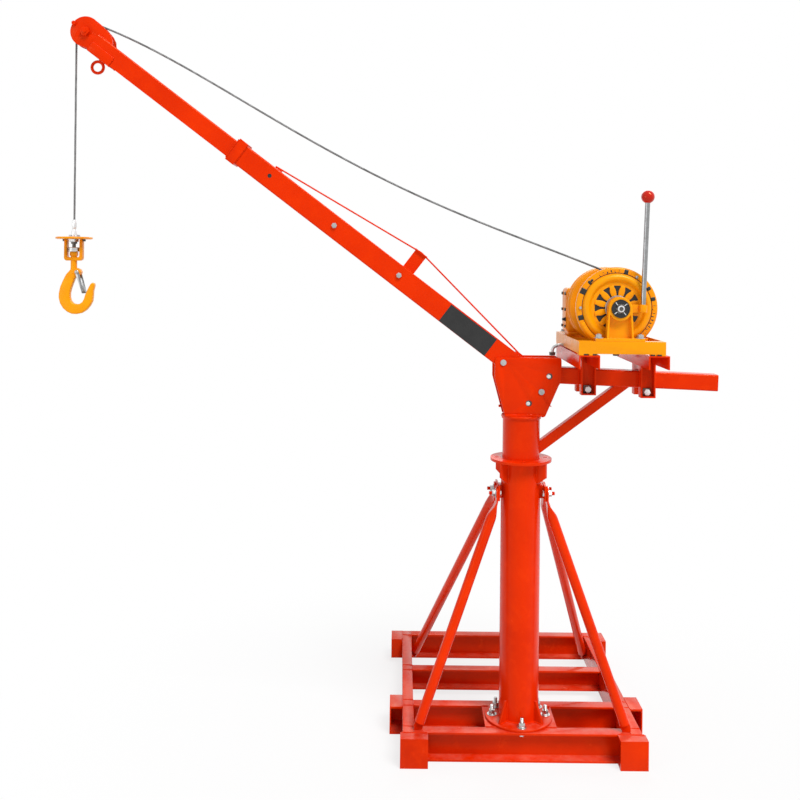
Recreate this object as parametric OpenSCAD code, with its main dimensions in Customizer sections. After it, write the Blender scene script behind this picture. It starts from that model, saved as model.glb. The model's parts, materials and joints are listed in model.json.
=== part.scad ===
// Portable mini crane: a welded base frame with a braced round column, a slewing mast,
// a luffing and telescoping box boom, and a drum winch on a tail beam.
// Millimetres. The origin is on the ground on the slewing axis. The boom points to -X,
// the tail to +X, and +Z is up.

/* [Base frame] */
// Width of the base over its side rails
base_w = 990; // [900:10:1200]
// Distance from the slewing axis to the front edge of the base
base_front = 146; // [140:1:180]
// Distance from the slewing axis to the rear edge of the base
base_rear = 928; // [860:2:1100]
// Height of the base channels
channel_h = 120; // [110:1:140]
// Flange width of the base channels
channel_b = 53; // [45:1:58]
// Flange width of the side rails
rail_b = 47; // [40:1:58]
// Web thickness of the base channels
channel_web = 6; // [4:0.5:8]
// Flange thickness of the base channels
channel_flange = 9; // [6:0.5:11]
// Height of the light middle channel
light_h = 95; // [80:1:105]
// Distance from the slewing axis to the front of the light middle channel
light_y = 455; // [400:5:600]
// Length of the short channel feet at the frame's corners
foot_len = 114; // [90:1:130]
// How far the short channel feet stick out
foot_out = 56; // [45:1:62]
// Height of the two rear feet
rear_foot_h = 95; // [80:1:110]
// Width of the plate under the column
plate_w = 300; // [290:2:360]
// Thickness of the plate under the column
plate_t = 12; // [8:1:16]

/* [Column] */
// Outer diameter of the column tube
column_d = 168.3; // [160:0.1:180]
// Diameter of the column's foot flange
foot_flange_d = 285; // [270:1:292]
// Thickness of the column's foot flange
foot_flange_t = 10; // [8:1:16]
// Diameter of the column's head flange
head_flange_d = 260; // [240:1:280]
// Thickness of the column's head flange
head_flange_t = 12; // [8:1:16]
// Height of the head flange's top above the ground
column_top = 1228; // [1150:2:1300]
// Pitch circle of the four holes in the head flange
head_pcd = 206; // [198:1:214]
// Diameter of the four holes in the head flange
head_hole_d = 15; // [12:0.5:18]
// Height of the gussets at the flanges
gusset_h = 86; // [60:1:90]
// Thickness of gussets and strut lugs
gusset_t = 10; // [8:1:12]

/* [Struts] */
// Outer diameter of the strut tubes
strut_d = 42; // [34:0.5:48]
// Wall thickness of the strut tubes
strut_wall = 3; // [2:0.5:4]
// Distance of the struts' feet from the sides of the base
strut_inset = 70; // [62:1:90]
// Distance from the slewing axis to the front struts' feet
strut_front = 120; // [112:1:128]
// Distance from the slewing axis to the rear struts' feet
strut_rear = 800; // [740:5:830]
// Height of the rear struts' feet
strut_rear_z = 72; // [60:1:85]
// Height of the strut bolts at the column
strut_top_z = 1084; // [1040:2:1100]
// Distance of the strut bolts from the boom plane
strut_top_y = 42; // [38:1:50]
// Width of the struts' flattened ends
strut_flat_w = 60; // [50:1:64]
// Thickness of the struts' flattened ends
strut_flat_t = 8; // [6:0.5:10]

/* [Mast and head] */
// Outer diameter of the slewing mast
mast_d = 158; // [150:0.1:160]
// Wall thickness of the slewing mast
mast_wall = 6; // [4:0.5:8]
// Height of the mast's foot inside the column
mast_foot = 900; // [800:5:1000]
// Diameter of the cap plate on the mast
cap_d = 172; // [164:1:190]
// Thickness of the cap plate on the mast
cap_t = 12; // [8:1:16]
// Height of the cap plate's top
head_z = 1412; // [1406:1:1416]
// Thickness of the head's cheek plates
cheek_t = 8; // [6:0.5:10]
// Distance of the boom pivot from the slewing axis
pivot_x = 85; // [82:1:88]
// Height of the boom pivot
pivot_z = 1637; // [1634:1:1642]
// Diameter of the boom pivot bolt and the locking pin
pin_d = 26; // [20:0.5:28]
// Distance of the locking holes from the boom pivot
lock_r = 203; // [200:1:205]
// Radial clearance of pins and shafts in their bores
pin_fit = 0.05; // [0.02:0.01:0.09]

/* [Boom] */
// Elevation of the boom as it is pinned
boom_elev = 37; // [36:0.1:39]
// Side of the outer boom tube
boom_side = 94; // [88:0.5:97]
// Wall thickness of the outer boom tube
boom_wall = 4; // [3:0.1:4.3]
// Distance of the outer boom's end from the pivot
boom_end = 1462; // [1430:2:1510]
// Offset of the boom's centre line above the pivot
boom_rise = 19; // [16:0.5:22]
// Side of the inner boom tube
inner_side = 80; // [76:0.5:80]
// Wall thickness of the inner boom tube
inner_wall = 4; // [3:0.5:5]
// Distance of the inner boom's end from the pivot
inner_end = 2210; // [2150:1:2300]
// Distance of the inner boom's rear end from the pivot
inner_start = 535; // [515:1:548]
// Distance from the pivot to the first pin hole along the boom
hole_first = 574; // [565:1:590]
// Pitch of the pin holes along the boom
hole_pitch = 346; // [330:2:366]
// Diameter of the pin holes along the boom
hole_d = 18; // [14:0.5:20]
// Width of the collar along the boom
collar_len = 46; // [36:1:60]
// Height of the collar over the boom tube
collar_t = 7; // [5:0.5:11]
// Distance of the stay post from the pivot
post_u = 556; // [530:2:590]
// Height of the stay post
post_h = 88; // [70:1:100]
// Diameter of the stay rod
stay_d = 7; // [5:0.5:10]
// Distance of the stay's front end from the pivot
stay_front = 1272; // [1230:2:1320]
// Distance of the stay's rear end behind the pivot
stay_rear = 40; // [30:1:60]

/* [Boom tip] */
// Distance of the sheave axle ahead of the inner boom's end
sheave_out = 57; // [56:1:63]
// Height of the sheave axle above the inner boom's centre line
sheave_up = 15; // [12:0.5:20]
// Radius of the tip plates around the axle
tip_r = 65; // [63:0.5:68]
// Thickness of the tip plates
tip_t = 6; // [5:0.5:7]
// Clear width between the tip plates
tip_gap = 44; // [40:1:46]
// Pitch radius of the rope on the sheave
sheave_r = 47; // [44:0.5:48]
// Width of the sheave
sheave_w = 32; // [26:1:36]
// Diameter of the sheave axle
axle_d = 24; // [18:1:26]

/* [Rope and hook] */
// Diameter of the wire rope
rope_d = 9; // [6:0.5:10]
// Sag of the rope between the sheave and the drum
rope_sag = 62; // [20:1:90]
// Height of the top of the rope's ferrule above the ground
ferrule_z = 2224; // [2150:2:2300]
// Diameter of the guard disc over the hook
disc_d = 154; // [120:1:165]
// Width of the hook's yoke
yoke_w = 78; // [66:1:84]
// Height of the hook's yoke
yoke_h = 92; // [86:1:100]
// Outer radius of the hook's bowl
hook_r = 75; // [68:0.5:78]
// Inner radius of the hook's bowl
hook_throat = 33; // [28:0.5:36]
// Thickness of the hook
hook_t = 30; // [24:0.5:34]

/* [Tail and winch] */
// Side of the tail beam
tail_side = 70; // [64:1:76]
// Distance of the tail beam's end from the slewing axis
tail_end = 830; // [780:2:900]
// Downward slope of the tail beam
tail_slope = 2.2; // [1.5:0.1:3]
// Side of the brace under the tail beam
brace_side = 42; // [36:1:46]
// Distance of the winch axis from the slewing axis
winch_x = 352; // [345:1:358]
// Height of the winch axis
winch_z = 1880; // [1872:1:1890]
// Width of the winch frame
bed_w = 346; // [330:2:360]
// Distance of the winch frame's front from the boom plane
bed_front = 300; // [290:2:320]
// Distance of the winch frame's rear from the boom plane
bed_rear = 246; // [242:2:320]
// Height of the winch frame's angles
bed_h = 50; // [44:1:52]
// Radius of the drum's flanges
drum_flange_r = 165; // [150:1:168]
// Radius of the rope's centre on the drum
drum_rope_r = 125; // [115:1:130]
// Length of the lever's rod
lever_len = 420; // [360:5:480]
// Lean of the lever's rod from upright
lever_lean = 2; // [0:0.5:4]
// Diameter of the lever's rod
lever_d = 20; // [16:0.5:22]
// Diameter of the lever's ball knob
knob_d = 53; // [44:1:60]

/* [Hidden] */
$fn = 64;

red = "orangered";
yellow = "orange";
steel = "silver";
seat_gap = 0.3;
// Places on the base
base_half = base_w / 2;
rail_in = base_half - rail_b;
base_z = channel_h;
foot_top = base_z + foot_flange_t;
column_r = column_d / 2;
bore_r = mast_d / 2 + pin_fit;
head_flange_z = column_top - head_flange_t;
lug_half = gusset_t / 2;
lug_x = column_r + 10;
lug_t = 8;
strut_x = base_half - strut_inset;
strut_top_x = lug_x + lug_t + seat_gap + strut_flat_t / 2;
strut_bolt_r = 8.5;
// Places on the head
head_gap = boom_side + 4;
cheek_in = head_gap / 2;
cheek_out = cheek_in + cheek_t;
head_left = pivot_x + 36;
head_right = 161;
head_top = pivot_z + 22;
head_bend = pivot_z - 64;
pin_r = pin_d / 2;
pin_bore = pin_r + pin_fit;
box_t = 8;
lock_angles = [boom_elev - 21, boom_elev, boom_elev + 20.5];
// Places on the boom, in the boom's own frame: u ahead of the pivot, v above it
boom_start = -222;
boom_half = boom_side / 2;
boom_top = boom_rise + boom_half;
inner_half = inner_side / 2;
inner_rise = boom_rise - boom_half + boom_wall + seat_gap + inner_half;
sheave_u = inner_end + sheave_out;
sheave_v = inner_rise + sheave_up;
tip_in = tip_gap / 2;
tip_out = tip_in + tip_t;
axle_r = axle_d / 2;
cos_e = cos(boom_elev);
sin_e = sin(boom_elev);
function boom_x(u, v) = -pivot_x - u * cos_e + v * sin_e;
function boom_z(u, v) = pivot_z + u * sin_e + v * cos_e;
sheave_x = boom_x(sheave_u, sheave_v);
sheave_z = boom_z(sheave_u, sheave_v);
fall_x = sheave_x - sheave_r;
// Places on the tail
tail_start = head_right;
tail_top0 = pivot_z - 20;
tail_half = tail_side / 2;
bed_left = winch_x + 8 - bed_w / 2;
bed_right = bed_left + bed_w;
bed_z = 1700;
bed_top = bed_z + bed_h;
bed_pad = 6;
pedestal_y = -bed_front + 38;
drum_y = pedestal_y + 31;
rail_h = 55;
rail_w = 84;
clamp_near_x = bed_left + 6;
clamp_far_x = bed_right - 63;
function tail_top(x) = tail_top0 - (x - tail_start) * tan(tail_slope);
// Rope on its way from the sheave to the drum
rope_y = -140;
rope_r = rope_d / 2;
rope_leave = 21;
rope_reach = 22;
rope_skew = 49;
rope_bow = 85;
rope_a = [sheave_x + sheave_r * sin(rope_leave), 0, sheave_z + sheave_r * cos(rope_leave)];
rope_b = [winch_x + drum_rope_r * sin(rope_reach), rope_y, winch_z + drum_rope_r * cos(rope_reach)];
function rope_dip(t) = 4 * t * (1 - t) * (rope_sag - (1 - 2 * t) * (rope_skew + rope_bow * (1 - 2 * t)));
function rope_at(t) = rope_a + (rope_b - rope_a) * t - [0, 0, rope_dip(t)];
// Hook block: heights under the ferrule
ferrule_h = 40;
socket_h = 33;
disc_t = 10;
disc_z = ferrule_z - ferrule_h - socket_h - disc_t;
yoke_z = disc_z - yoke_h;
yoke_bar = 20;
shank_r = 13.5;
bowl_x = fall_x + 13;
bowl_z = yoke_z - 155;

// Channel of length l along +X, open to -Y, standing on z = 0
module channel(l, h, b) {
  translate([0, -b, 0]) rotate([90, 0, 90]) linear_extrude(l) difference() {
    square([b, h]);
    translate([-1, channel_flange])
      square([b - channel_web + 1, h - 2 * channel_flange]);
  }
}

// Square tube of length l along +X, centred on the X axis
module square_tube(l, side, wall) {
  difference() {
    translate([0, -side / 2, -side / 2]) cube([l, side, side]);
    translate([-1, -side / 2 + wall, -side / 2 + wall])
      cube([l + 2, side - 2 * wall, side - 2 * wall]);
  }
}

// Places children in the boom's frame: +X runs up the boom and +Z is square to it
module on_boom() {
  translate([-pivot_x, 0, pivot_z]) mirror([1, 0, 0]) rotate([0, -boom_elev, 0]) children();
}

// Turns children's +Z into the way from a to b, and puts them at a
module along(a, b) {
  d = b - a;
  translate(a) rotate([0, acos(d[2] / norm(d)), atan2(d[1], d[0])]) children();
}

// Round bar along Y, centred on y = 0
module cross_bar(r, l) {
  rotate([90, 0, 0]) cylinder(r = r, h = l, center = true);
}

// Hexagonal nut or bolt head along Y from y = 0 to -t, measured over its corners
module hex_y(r, t) {
  rotate([90, 0, 0]) cylinder(r = r, h = t, $fn = 6);
}

module base_beam(y_back, h, b, z) {
  color(red) translate([-rail_in, y_back, z]) channel(2 * rail_in, h, b);
}

module beam_front() { base_beam(-base_front + channel_b, channel_h, channel_b, 0); }

module beam_second() { base_beam(base_front, channel_h, channel_b, 0); }

module beam_third() { base_beam(light_y + channel_b, light_h, channel_b, base_z - light_h); }

module beam_rear() { base_beam(base_rear, channel_h, channel_b, 0); }

module rail_left() {
  color(red) translate([-rail_in, -base_front, 0]) mirror([1, 0, 0]) rotate([0, 0, 90])
    channel(base_front + base_rear, channel_h, rail_b);
}

module rail_right() { mirror([1, 0, 0]) rail_left(); }

module column_plate() {
  inner = base_front - channel_b;
  color(red) translate([-plate_w / 2, -inner, base_z - plate_t])
    cube([plate_w, 2 * inner, plate_t]);
}

// Short channel with its web outwards, in front of the origin
module corner_foot(h, end_wall = -1) {
  translate([0, -foot_out, base_z - h]) difference() {
    cube([foot_len, foot_out, h]);
    translate([end_wall, channel_web, channel_flange])
      cube([foot_len - 2 * end_wall, foot_out, h - 2 * channel_flange]);
  }
}

module side_foot(y, h, end_wall = -1) {
  translate([-base_half, y, 0]) rotate([0, 0, -90]) translate([-foot_len, 0, 0]) corner_foot(h, end_wall);
}

module corner_feet() {
  color(red) for (side = [0, 1]) mirror([side, 0, 0]) {
    translate([-base_half - 10, -base_front, 0]) corner_foot(base_z);
    side_foot(base_front - 68, base_z);
    translate([-base_half - foot_out, base_front - 68 + foot_len - channel_web, 0])
      cube([foot_out, channel_web, base_z]);
    translate([-base_half - 1, base_rear - channel_web, channel_flange + seat_gap])
      cube([rail_b - channel_web - seat_gap + 1, channel_web, base_z - 2 * channel_flange - 2 * seat_gap]);
    side_foot(base_rear - foot_len, rear_foot_h, channel_web);
  }
}

strut_front_foot = [-strut_x, -strut_front, base_z + 30];
strut_rear_foot = [-strut_x, strut_rear, strut_rear_z];
strut_front_bolt = [-strut_top_x, -strut_top_y, strut_top_z];
strut_rear_bolt = [-strut_top_x, strut_top_y, strut_top_z];
// Where a strut's flat end bends out, and where its round tube starts
function strut_bend(bolt, foot) =
  [bolt[0], bolt[1] + 36 * (foot[1] - bolt[1]) / (bolt[2] - foot[2]), bolt[2] - 36];
function strut_top(bolt, foot) =
  let (bend = strut_bend(bolt, foot)) bend + 75 * (foot - bend) / norm(foot - bend);

// Pointed lug in a strut's foot slot
module strut_lug(bolt, foot, floor_z) {
  intersection() {
    along(foot, strut_top(bolt, foot)) translate([-strut_d / 2 + 1, -lug_half + 1, -90])
      cube([strut_d - 2, gusset_t - 2, 120]);
    translate([-rail_in, -base_front, floor_z])
      cube([rail_in, base_front + base_rear, base_z + channel_h]);
  }
}

module strut_feet() {
  color(red) for (side = [0, 1]) mirror([side, 0, 0]) {
    strut_lug(strut_front_bolt, strut_front_foot, base_z);
    strut_lug(strut_rear_bolt, strut_rear_foot, strut_rear_z - 40);
  }
}

// Flat eye across the X axis
module strut_flat(at, less = 0) {
  translate(at) rotate([0, 90, 0]) cylinder(d = strut_flat_w - less, h = strut_flat_t - less, center = true);
}

module strut(bolt, foot) {
  top = strut_top(bolt, foot);
  bend = strut_bend(bolt, foot);
  color(red) difference() {
    union() {
      along(foot, top) cylinder(d = strut_d, h = norm(top - foot));
      hull() {
        strut_flat(bolt);
        strut_flat(bend);
      }
      hull() {
        strut_flat(bend, 0.6);
        along(top, foot) cylinder(d = strut_d + 0.8, h = 1);
      }
    }
    along(foot, top) {
      translate([0, 0, -1]) cylinder(d = strut_d - 2 * strut_wall, h = norm(top - foot) - 25);
      translate([-strut_d, -lug_half + 0.7, -1]) cube([2 * strut_d, gusset_t - 1.4, 33]);
    }
    translate(bolt) rotate([0, 90, 0]) cylinder(r = strut_bolt_r, h = 2 * strut_flat_t, center = true);
  }
}

module strut_front_left() { strut(strut_front_bolt, strut_front_foot); }

module strut_rear_left() { strut(strut_rear_bolt, strut_rear_foot); }

module strut_front_right() { mirror([1, 0, 0]) strut_front_left(); }

module strut_rear_right() { mirror([1, 0, 0]) strut_rear_left(); }

// Gusset with its upright edge on the column and its flat edge on z = 0
module gusset(reach, edge, nose, h) {
  translate([column_r - 1, lug_half, 0]) rotate([90, 0, 0]) linear_extrude(gusset_t)
    polygon([[0, 0], [reach, 0], [reach, edge], [nose, h], [0, h]]);
}

module column() {
  ledge_z = mast_foot - 20;
  color(red) translate([0, 0, foot_top]) difference() {
    cylinder(r = column_r, h = head_flange_z - foot_top);
    translate([0, 0, ledge_z - 20 - foot_top]) cylinder(r = 50, h = 21);
    translate([0, 0, ledge_z - foot_top]) cylinder(r = bore_r, h = column_top);
    translate([0, 0, -1]) cylinder(r = bore_r, h = ledge_z - 20 - foot_top + 1);
  }
}

module column_foot() {
  color(red) {
    translate([0, 0, base_z]) cylinder(d = foot_flange_d, h = foot_flange_t, $fn = 96);
    difference() {
      for (a = [225, 315, 67, 113]) translate([0, 0, foot_top]) rotate([0, 0, a])
        gusset(45, 8, 11, gusset_h);
      translate([0, 0, foot_top]) cylinder(r = column_r, h = gusset_h + 1);
    }
  }
}

// Plate on each side of the column for the struts' bolts, with its stem
module strut_plate() {
  half = strut_top_y + strut_flat_w / 2 - 8;
  translate([lug_x, -half, strut_top_z - 30]) cube([lug_t, 2 * half, 64]);
  translate([column_r - 6, -22, strut_top_z - 26]) cube([lug_x - column_r + 7, 44, 56]);
}

module column_head() {
  color(red) difference() {
    union() {
      translate([0, 0, head_flange_z]) cylinder(d = head_flange_d, h = head_flange_t, $fn = 96);
      for (a = [42, 138, 222, 318]) translate([0, 0, head_flange_z]) rotate([0, 0, a])
        mirror([0, 0, 1]) gusset((head_flange_d - column_d) / 2, gusset_h - 28, 6, gusset_h);
      for (a = [0, 180]) rotate([0, 0, a]) strut_plate();
    }
    translate([0, 0, strut_top_z - 31]) cylinder(r = column_r, h = head_flange_z - strut_top_z + 31);
    cylinder(r = bore_r, h = column_top + 1);
    for (a = [0 : 90 : 270]) rotate([0, 0, a]) translate([head_pcd / 2, 0, head_flange_z - 1])
      cylinder(d = head_hole_d, h = head_flange_t + 2);
    for (side = [-1, 1]) translate([0, side * strut_top_y, strut_top_z]) rotate([0, 90, 0])
      cylinder(r = strut_bolt_r, h = 4 * strut_top_x, center = true);
  }
}

module thrust_bearing() {
  color(steel) translate([0, 0, mast_foot - 20]) difference() {
    cylinder(r = mast_d / 2 - 2, h = 20);
    translate([0, 0, -1]) cylinder(r = 45, h = 22);
  }
}

module mast() {
  color(red) translate([0, 0, mast_foot + seat_gap]) difference() {
    cylinder(d = mast_d, h = head_z - cap_t - mast_foot - seat_gap);
    translate([0, 0, 10]) cylinder(d = mast_d - 2 * mast_wall, h = head_z);
  }
}

module mast_cap() {
  color(red) translate([0, 0, head_z - cap_t]) cylinder(d = cap_d, h = cap_t);
}

// Points of an arc with radius r about [x, y], from angle a to angle b
function arc(x, y, r, a, b, n = 6) =
  [for (i = [0 : n]) [x + r * cos(a + (b - a) * i / n), y + r * sin(a + (b - a) * i / n)]];

module cheek_outline() {
  r = 14;
  polygon(concat(
    [[9 - cap_d / 2, head_z], [cap_d / 2 + 8, head_z], [head_right - 11, head_bend - 30], [head_right, head_bend - 14]],
    arc(head_right - r, head_top - r, r, 0, 90),
    arc(-head_left + r, head_top - r, r, 90, 180),
    [[-head_left, head_bend]]
  ));
}

module head_cheeks() {
  color(red) difference() {
    for (side = [-1, 1]) translate([0, side * (cheek_in + cheek_t / 2), 0]) rotate([90, 0, 0])
      linear_extrude(cheek_t, center = true) cheek_outline();
    translate([-pivot_x, 0, pivot_z]) {
      cross_bar(pin_bore, 3 * boom_side);
      for (a = lock_angles) rotate([0, a, 0]) translate([lock_r, 0, 0]) cross_bar(pin_bore, 3 * boom_side);
    }
  }
}

// Closing plate between the cheeks, at the tail
module head_box() {
  foot = head_bend - 14;
  color(red) translate([head_right - box_t, -cheek_in, foot]) cube([box_t, head_gap, head_top - foot - 3]);
}

module pivot_bolt() {
  color(steel) translate([-pivot_x, cheek_out + 1, pivot_z]) rotate([90, 0, 0]) {
    cylinder(r = pin_r, h = 2 * cheek_out + 5);
    translate([0, 0, -8]) cylinder(r = pin_r + 5, h = 8);
  }
}

module lock_pin() {
  color(steel) translate([-pivot_x, 0, pivot_z]) rotate([0, boom_elev, 0]) translate([lock_r, 0, 0])
    for (side = [0, 1]) mirror([0, side, 0]) {
      translate([0, -cheek_in - 0.5, 0]) rotate([90, 0, 0]) cylinder(r = pin_r, h = cheek_t + 4);
    }
}

module tail_beam() {
  tail_l = (tail_end - tail_start) / cos(tail_slope);
  color(red) difference() {
    translate([tail_start, 0, tail_top0 - tail_half]) rotate([0, tail_slope, 0])
      translate([-10, 0, 0]) square_tube(tail_l + 10, tail_side, 4);
    translate([0, -tail_side, 0]) cube([tail_start, 2 * tail_side, 2 * tail_top0]);
  }
}

brace_foot = [mast_d / 2, 0, 1276];
brace_top = [424, 0, tail_top(424) - tail_side];

module tail_brace() {
  d = brace_top - brace_foot;
  slope = atan2(d[2], d[0]);
  color(red) difference() {
    translate(brace_foot) rotate([0, -slope, 0]) translate([-60, 0, 0])
      square_tube(norm(d) + 120, brace_side, 3);
    cylinder(d = mast_d, h = 2 * head_z);
    translate([-head_z, -cap_d, 0]) cube([head_z, 2 * cap_d, 2 * head_z]);
    translate([tail_start, -tail_side, tail_top0 - tail_half]) rotate([0, tail_slope, 0])
      translate([-tail_start, 0, -tail_half]) cube([tail_end, 2 * tail_side, tail_side]);
  }
}

leg_w = 62;
leg_out = 42;
leg_bottom = 1506;
rail_top = bed_z - bed_pad;
leg_near_x = clamp_near_x + 48;
leg_far_x = clamp_far_x + 21;

// Cross rail under the winch bed from x - 5 on, with legs from leg_x on that straddle the tail beam
module clamp(x, leg_x) {
  bottom = leg_bottom - (leg_x - leg_near_x) * tan(tail_slope);
  saddle = tail_top(leg_x) + seat_gap;
  color(red) difference() {
    union() {
      translate([x - 5, -bed_front, rail_top - rail_h]) difference() {
        cube([rail_w, bed_front + bed_rear, rail_h]);
        translate([6, -1, -1]) cube([rail_w - 12, bed_front + bed_rear + 2, rail_h - 5]);
      }
      for (side = [0, 1]) mirror([0, side, 0])
        translate([leg_x, -tail_half - 1 - leg_out, bottom]) difference() {
          cube([leg_w, leg_out, rail_top - 6 - bottom]);
          translate([6, -1, 6]) cube([leg_w - 12, leg_out - 5, rail_top - bottom - 20]);
        }
      translate([leg_x, -tail_half - 2, saddle]) cube([leg_w, tail_side + 4, rail_top - 5.7 - saddle]);
    }
    translate([leg_x + leg_w / 2, 0, bottom + 22]) cross_bar(12, 4 * tail_side);
    translate([leg_x + 8, -tail_half - 1, saddle + 9])
      cube([leg_w - 16, tail_side + 2, rail_top - 24 - saddle]);
  }
}

module clamp_near() { clamp(clamp_near_x, leg_near_x); }

module clamp_far() { clamp(clamp_far_x, leg_far_x); }

// Frame of steel angles under the winch
module winch_bed() {
  bed_l = bed_front + bed_rear;
  color(yellow) translate([bed_left, -bed_front, bed_z]) {
    difference() {
      cube([bed_w, bed_l, bed_h]);
      translate([5, 5, -1]) cube([bed_w - 10, bed_l - 10, bed_h - 4]);
      translate([5, 50, 0]) cube([bed_w - 10, bed_front - 50, bed_h + 1]);
      translate([45, 50, 0]) cube([bed_w - 90, bed_l - 100, bed_h + 1]);
    }
    for (pad = [[1, 21], [41, 15], [bed_w - 56, 17], [bed_w - 20, 19]], y = [0, bed_l - 40])
      translate([pad[0], y, -bed_pad]) cube([pad[1], 40, bed_pad + 2]);
  }
}

pedestal_t = 34;
hub_r = 47;

// Bearing stand in front of the winch, with its back at y = 0
module pedestal() {
  drop = winch_z - bed_top;
  color(yellow) translate([winch_x, 0, winch_z]) {
    difference() {
      union() {
        rotate([90, 0, 0]) cylinder(r = hub_r, h = pedestal_t);
        rotate([90, 0, 0]) linear_extrude(8)
          polygon([[-hub_r, 0], [hub_r, 0], [54, -drop], [-54, -drop]]);
        for (side = [0, 1]) mirror([side, 0, 0]) rotate([90, 0, 0]) linear_extrude(pedestal_t)
          polygon([[hub_r, 0], [54, -drop], [47, -drop], [hub_r - 7, 0]]);
      }
      translate([0, 1, 0]) rotate([90, 0, 0]) cylinder(r = 20 + pin_fit, h = pedestal_t + 2);
      translate([0, -14, 0]) rotate([90, 0, 0]) cylinder(r = 35, h = pedestal_t);
    }
    translate([-98, -pedestal_t - 2, -drop]) cube([196, pedestal_t + 6, 12]);
  }
}

module pedestal_front() { translate([0, pedestal_y, 0]) pedestal(); }

module pedestal_rear() { translate([0, bed_rear - pedestal_t - 4, 0]) mirror([0, 1, 0]) pedestal(); }

// Fixed shaft through both bearing stands, with its nut in front
module winch_shaft() {
  front = -bed_front - 8;
  color(steel) translate([winch_x, 0, winch_z]) {
    translate([0, bed_rear, 0]) rotate([90, 0, 0]) cylinder(r = 20, h = bed_rear + bed_front - 14);
    translate([0, front + 28, 0]) rotate([90, 0, 0]) cylinder(r = 12, h = 28);
    translate([0, front + 24, 0]) hex_y(20, 16);
  }
}

drum_l = 173;
housing_y = drum_y + drum_l + 5;
housing_l = 182;

// Domed front plate of the drum with its ring of slots
module drum_face() {
  color(yellow) translate([winch_x, drum_y, winch_z]) rotate([90, 0, 0]) difference() {
    union() {
      cylinder(r = 104, h = 6);
      difference() {
        cylinder(r = 134, h = 14);
        translate([0, 0, -1]) cylinder(r = 100, h = 20);
      }
    }
    translate([0, 0, -1]) cylinder(r = 24, h = 20);
    for (a = [0 : 30 : 330]) rotate([0, 0, a]) translate([0, 50, -1]) linear_extrude(20)
      polygon([[-2, 0], [2, 0], [3, 22], [13, 40], [-13, 40], [-3, 22]]);
  }
}

// Rope drum with its two flanges
module drum() {
  color(yellow) translate([winch_x, drum_y, winch_z]) rotate([-90, 0, 0]) difference() {
    union() {
      cylinder(r = drum_flange_r, h = 24, $fn = 96);
      cylinder(r = drum_rope_r - rope_r - 0.5, h = drum_l);
      translate([0, 0, drum_l - 12]) cylinder(r = drum_flange_r - 4, h = 12, $fn = 96);
    }
    translate([0, 0, -1]) cylinder(r = 104, h = drum_l - 13);
    translate([0, 0, -1]) cylinder(r = 20 + pin_fit, h = drum_l + 2);
  }
}

// Fixed housing behind the drum
module gear_housing() {
  color(yellow) translate([winch_x, housing_y, winch_z]) {
    rotate([-90, 0, 0]) difference() {
      cylinder(r = drum_flange_r, h = 60, $fn = 96);
      translate([0, 0, -1]) cylinder(r = 20 + pin_fit, h = 70);
    }
    translate([-160, 70, -118]) difference() {
      cube([320, housing_l - 70, 192]);
      translate([160, -1, 118]) rotate([-90, 0, 0]) cylinder(r = 20 + pin_fit, h = 120);
    }
    for (side = [-1, 1]) translate([side * 80, 50, 0]) rotate([-90, 0, 0]) cylinder(r = 30, h = 30);
    translate([-150, 80, -130]) cube([300, 90, 20]);
  }
}

// Distance from the housing to the rear bearing stand's foot
motor_l = bed_rear - pedestal_t - 8 - housing_y - housing_l - 3;

module motor() {
  color(yellow) translate([winch_x, housing_y + housing_l, winch_z]) rotate([-90, 0, 0]) difference() {
    cylinder(r = 105, h = motor_l);
    translate([0, 0, -1]) cylinder(r = 20 + pin_fit, h = motor_l + 2);
  }
}

lever_y = pedestal_y + 10;
lever_x = 96;

// Clutch ring on the winch shaft, with an arm and a socket for the rod
module lever_arm() {
  color(yellow) translate([winch_x, lever_y, winch_z]) difference() {
    union() {
      rotate([90, 0, 0]) cylinder(r = 46, h = 9);
      translate([0, -9, -16]) cube([lever_x, 9, 32]);
      translate([lever_x, -15, 0]) rotate([0, lever_lean, 0]) translate([0, 0, -14]) cylinder(r = 17, h = 28);
    }
    translate([0, 1, 0]) rotate([90, 0, 0]) cylinder(r = 20 + pin_fit, h = 20);
    translate([lever_x, -15, 0]) rotate([0, lever_lean, 0]) translate([0, 0, -8]) cylinder(d = lever_d, h = 40);
  }
}

// Places what stands in the lever's socket, with +Z up the rod
module on_lever() {
  translate([winch_x + lever_x, lever_y - 15, winch_z]) rotate([0, lever_lean, 0]) children();
}

module lever_rod() {
  color(steel) on_lever() translate([0, 0, -8]) cylinder(d = lever_d, h = lever_len + 22);
}

module lever_knob() {
  color("red") on_lever() translate([0, 0, lever_len + 28])
    difference() {
      sphere(d = knob_d);
      translate([0, 0, -knob_d]) cylinder(d = knob_d, h = knob_d * 0.6);
      translate([0, 0, -knob_d]) cylinder(d = lever_d, h = knob_d);
    }
}

module outer_boom() {
  color(red) on_boom() difference() {
    translate([boom_start, 0, boom_rise]) square_tube(boom_end - boom_start, boom_side, boom_wall);
    cross_bar(pin_bore, 2 * boom_side);
    translate([-lock_r, 0, 0]) cross_bar(pin_bore, 2 * boom_side);
    for (i = [0 : 2]) translate([hole_first + i * hole_pitch, 0, boom_rise + 4])
      cross_bar(hole_d / 2, 2 * boom_side);
  }
}

module boom_collar() {
  side = boom_side + 2 * collar_t;
  color(red) on_boom() translate([boom_end - collar_len, 0, boom_rise]) difference() {
    translate([0, -side / 2, -side / 2]) cube([collar_len - 2, side, side]);
    translate([-1, -boom_half, -boom_half]) cube([collar_len + 2, boom_side, boom_side]);
  }
}

post_w = 56;
post_t = 10;

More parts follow.
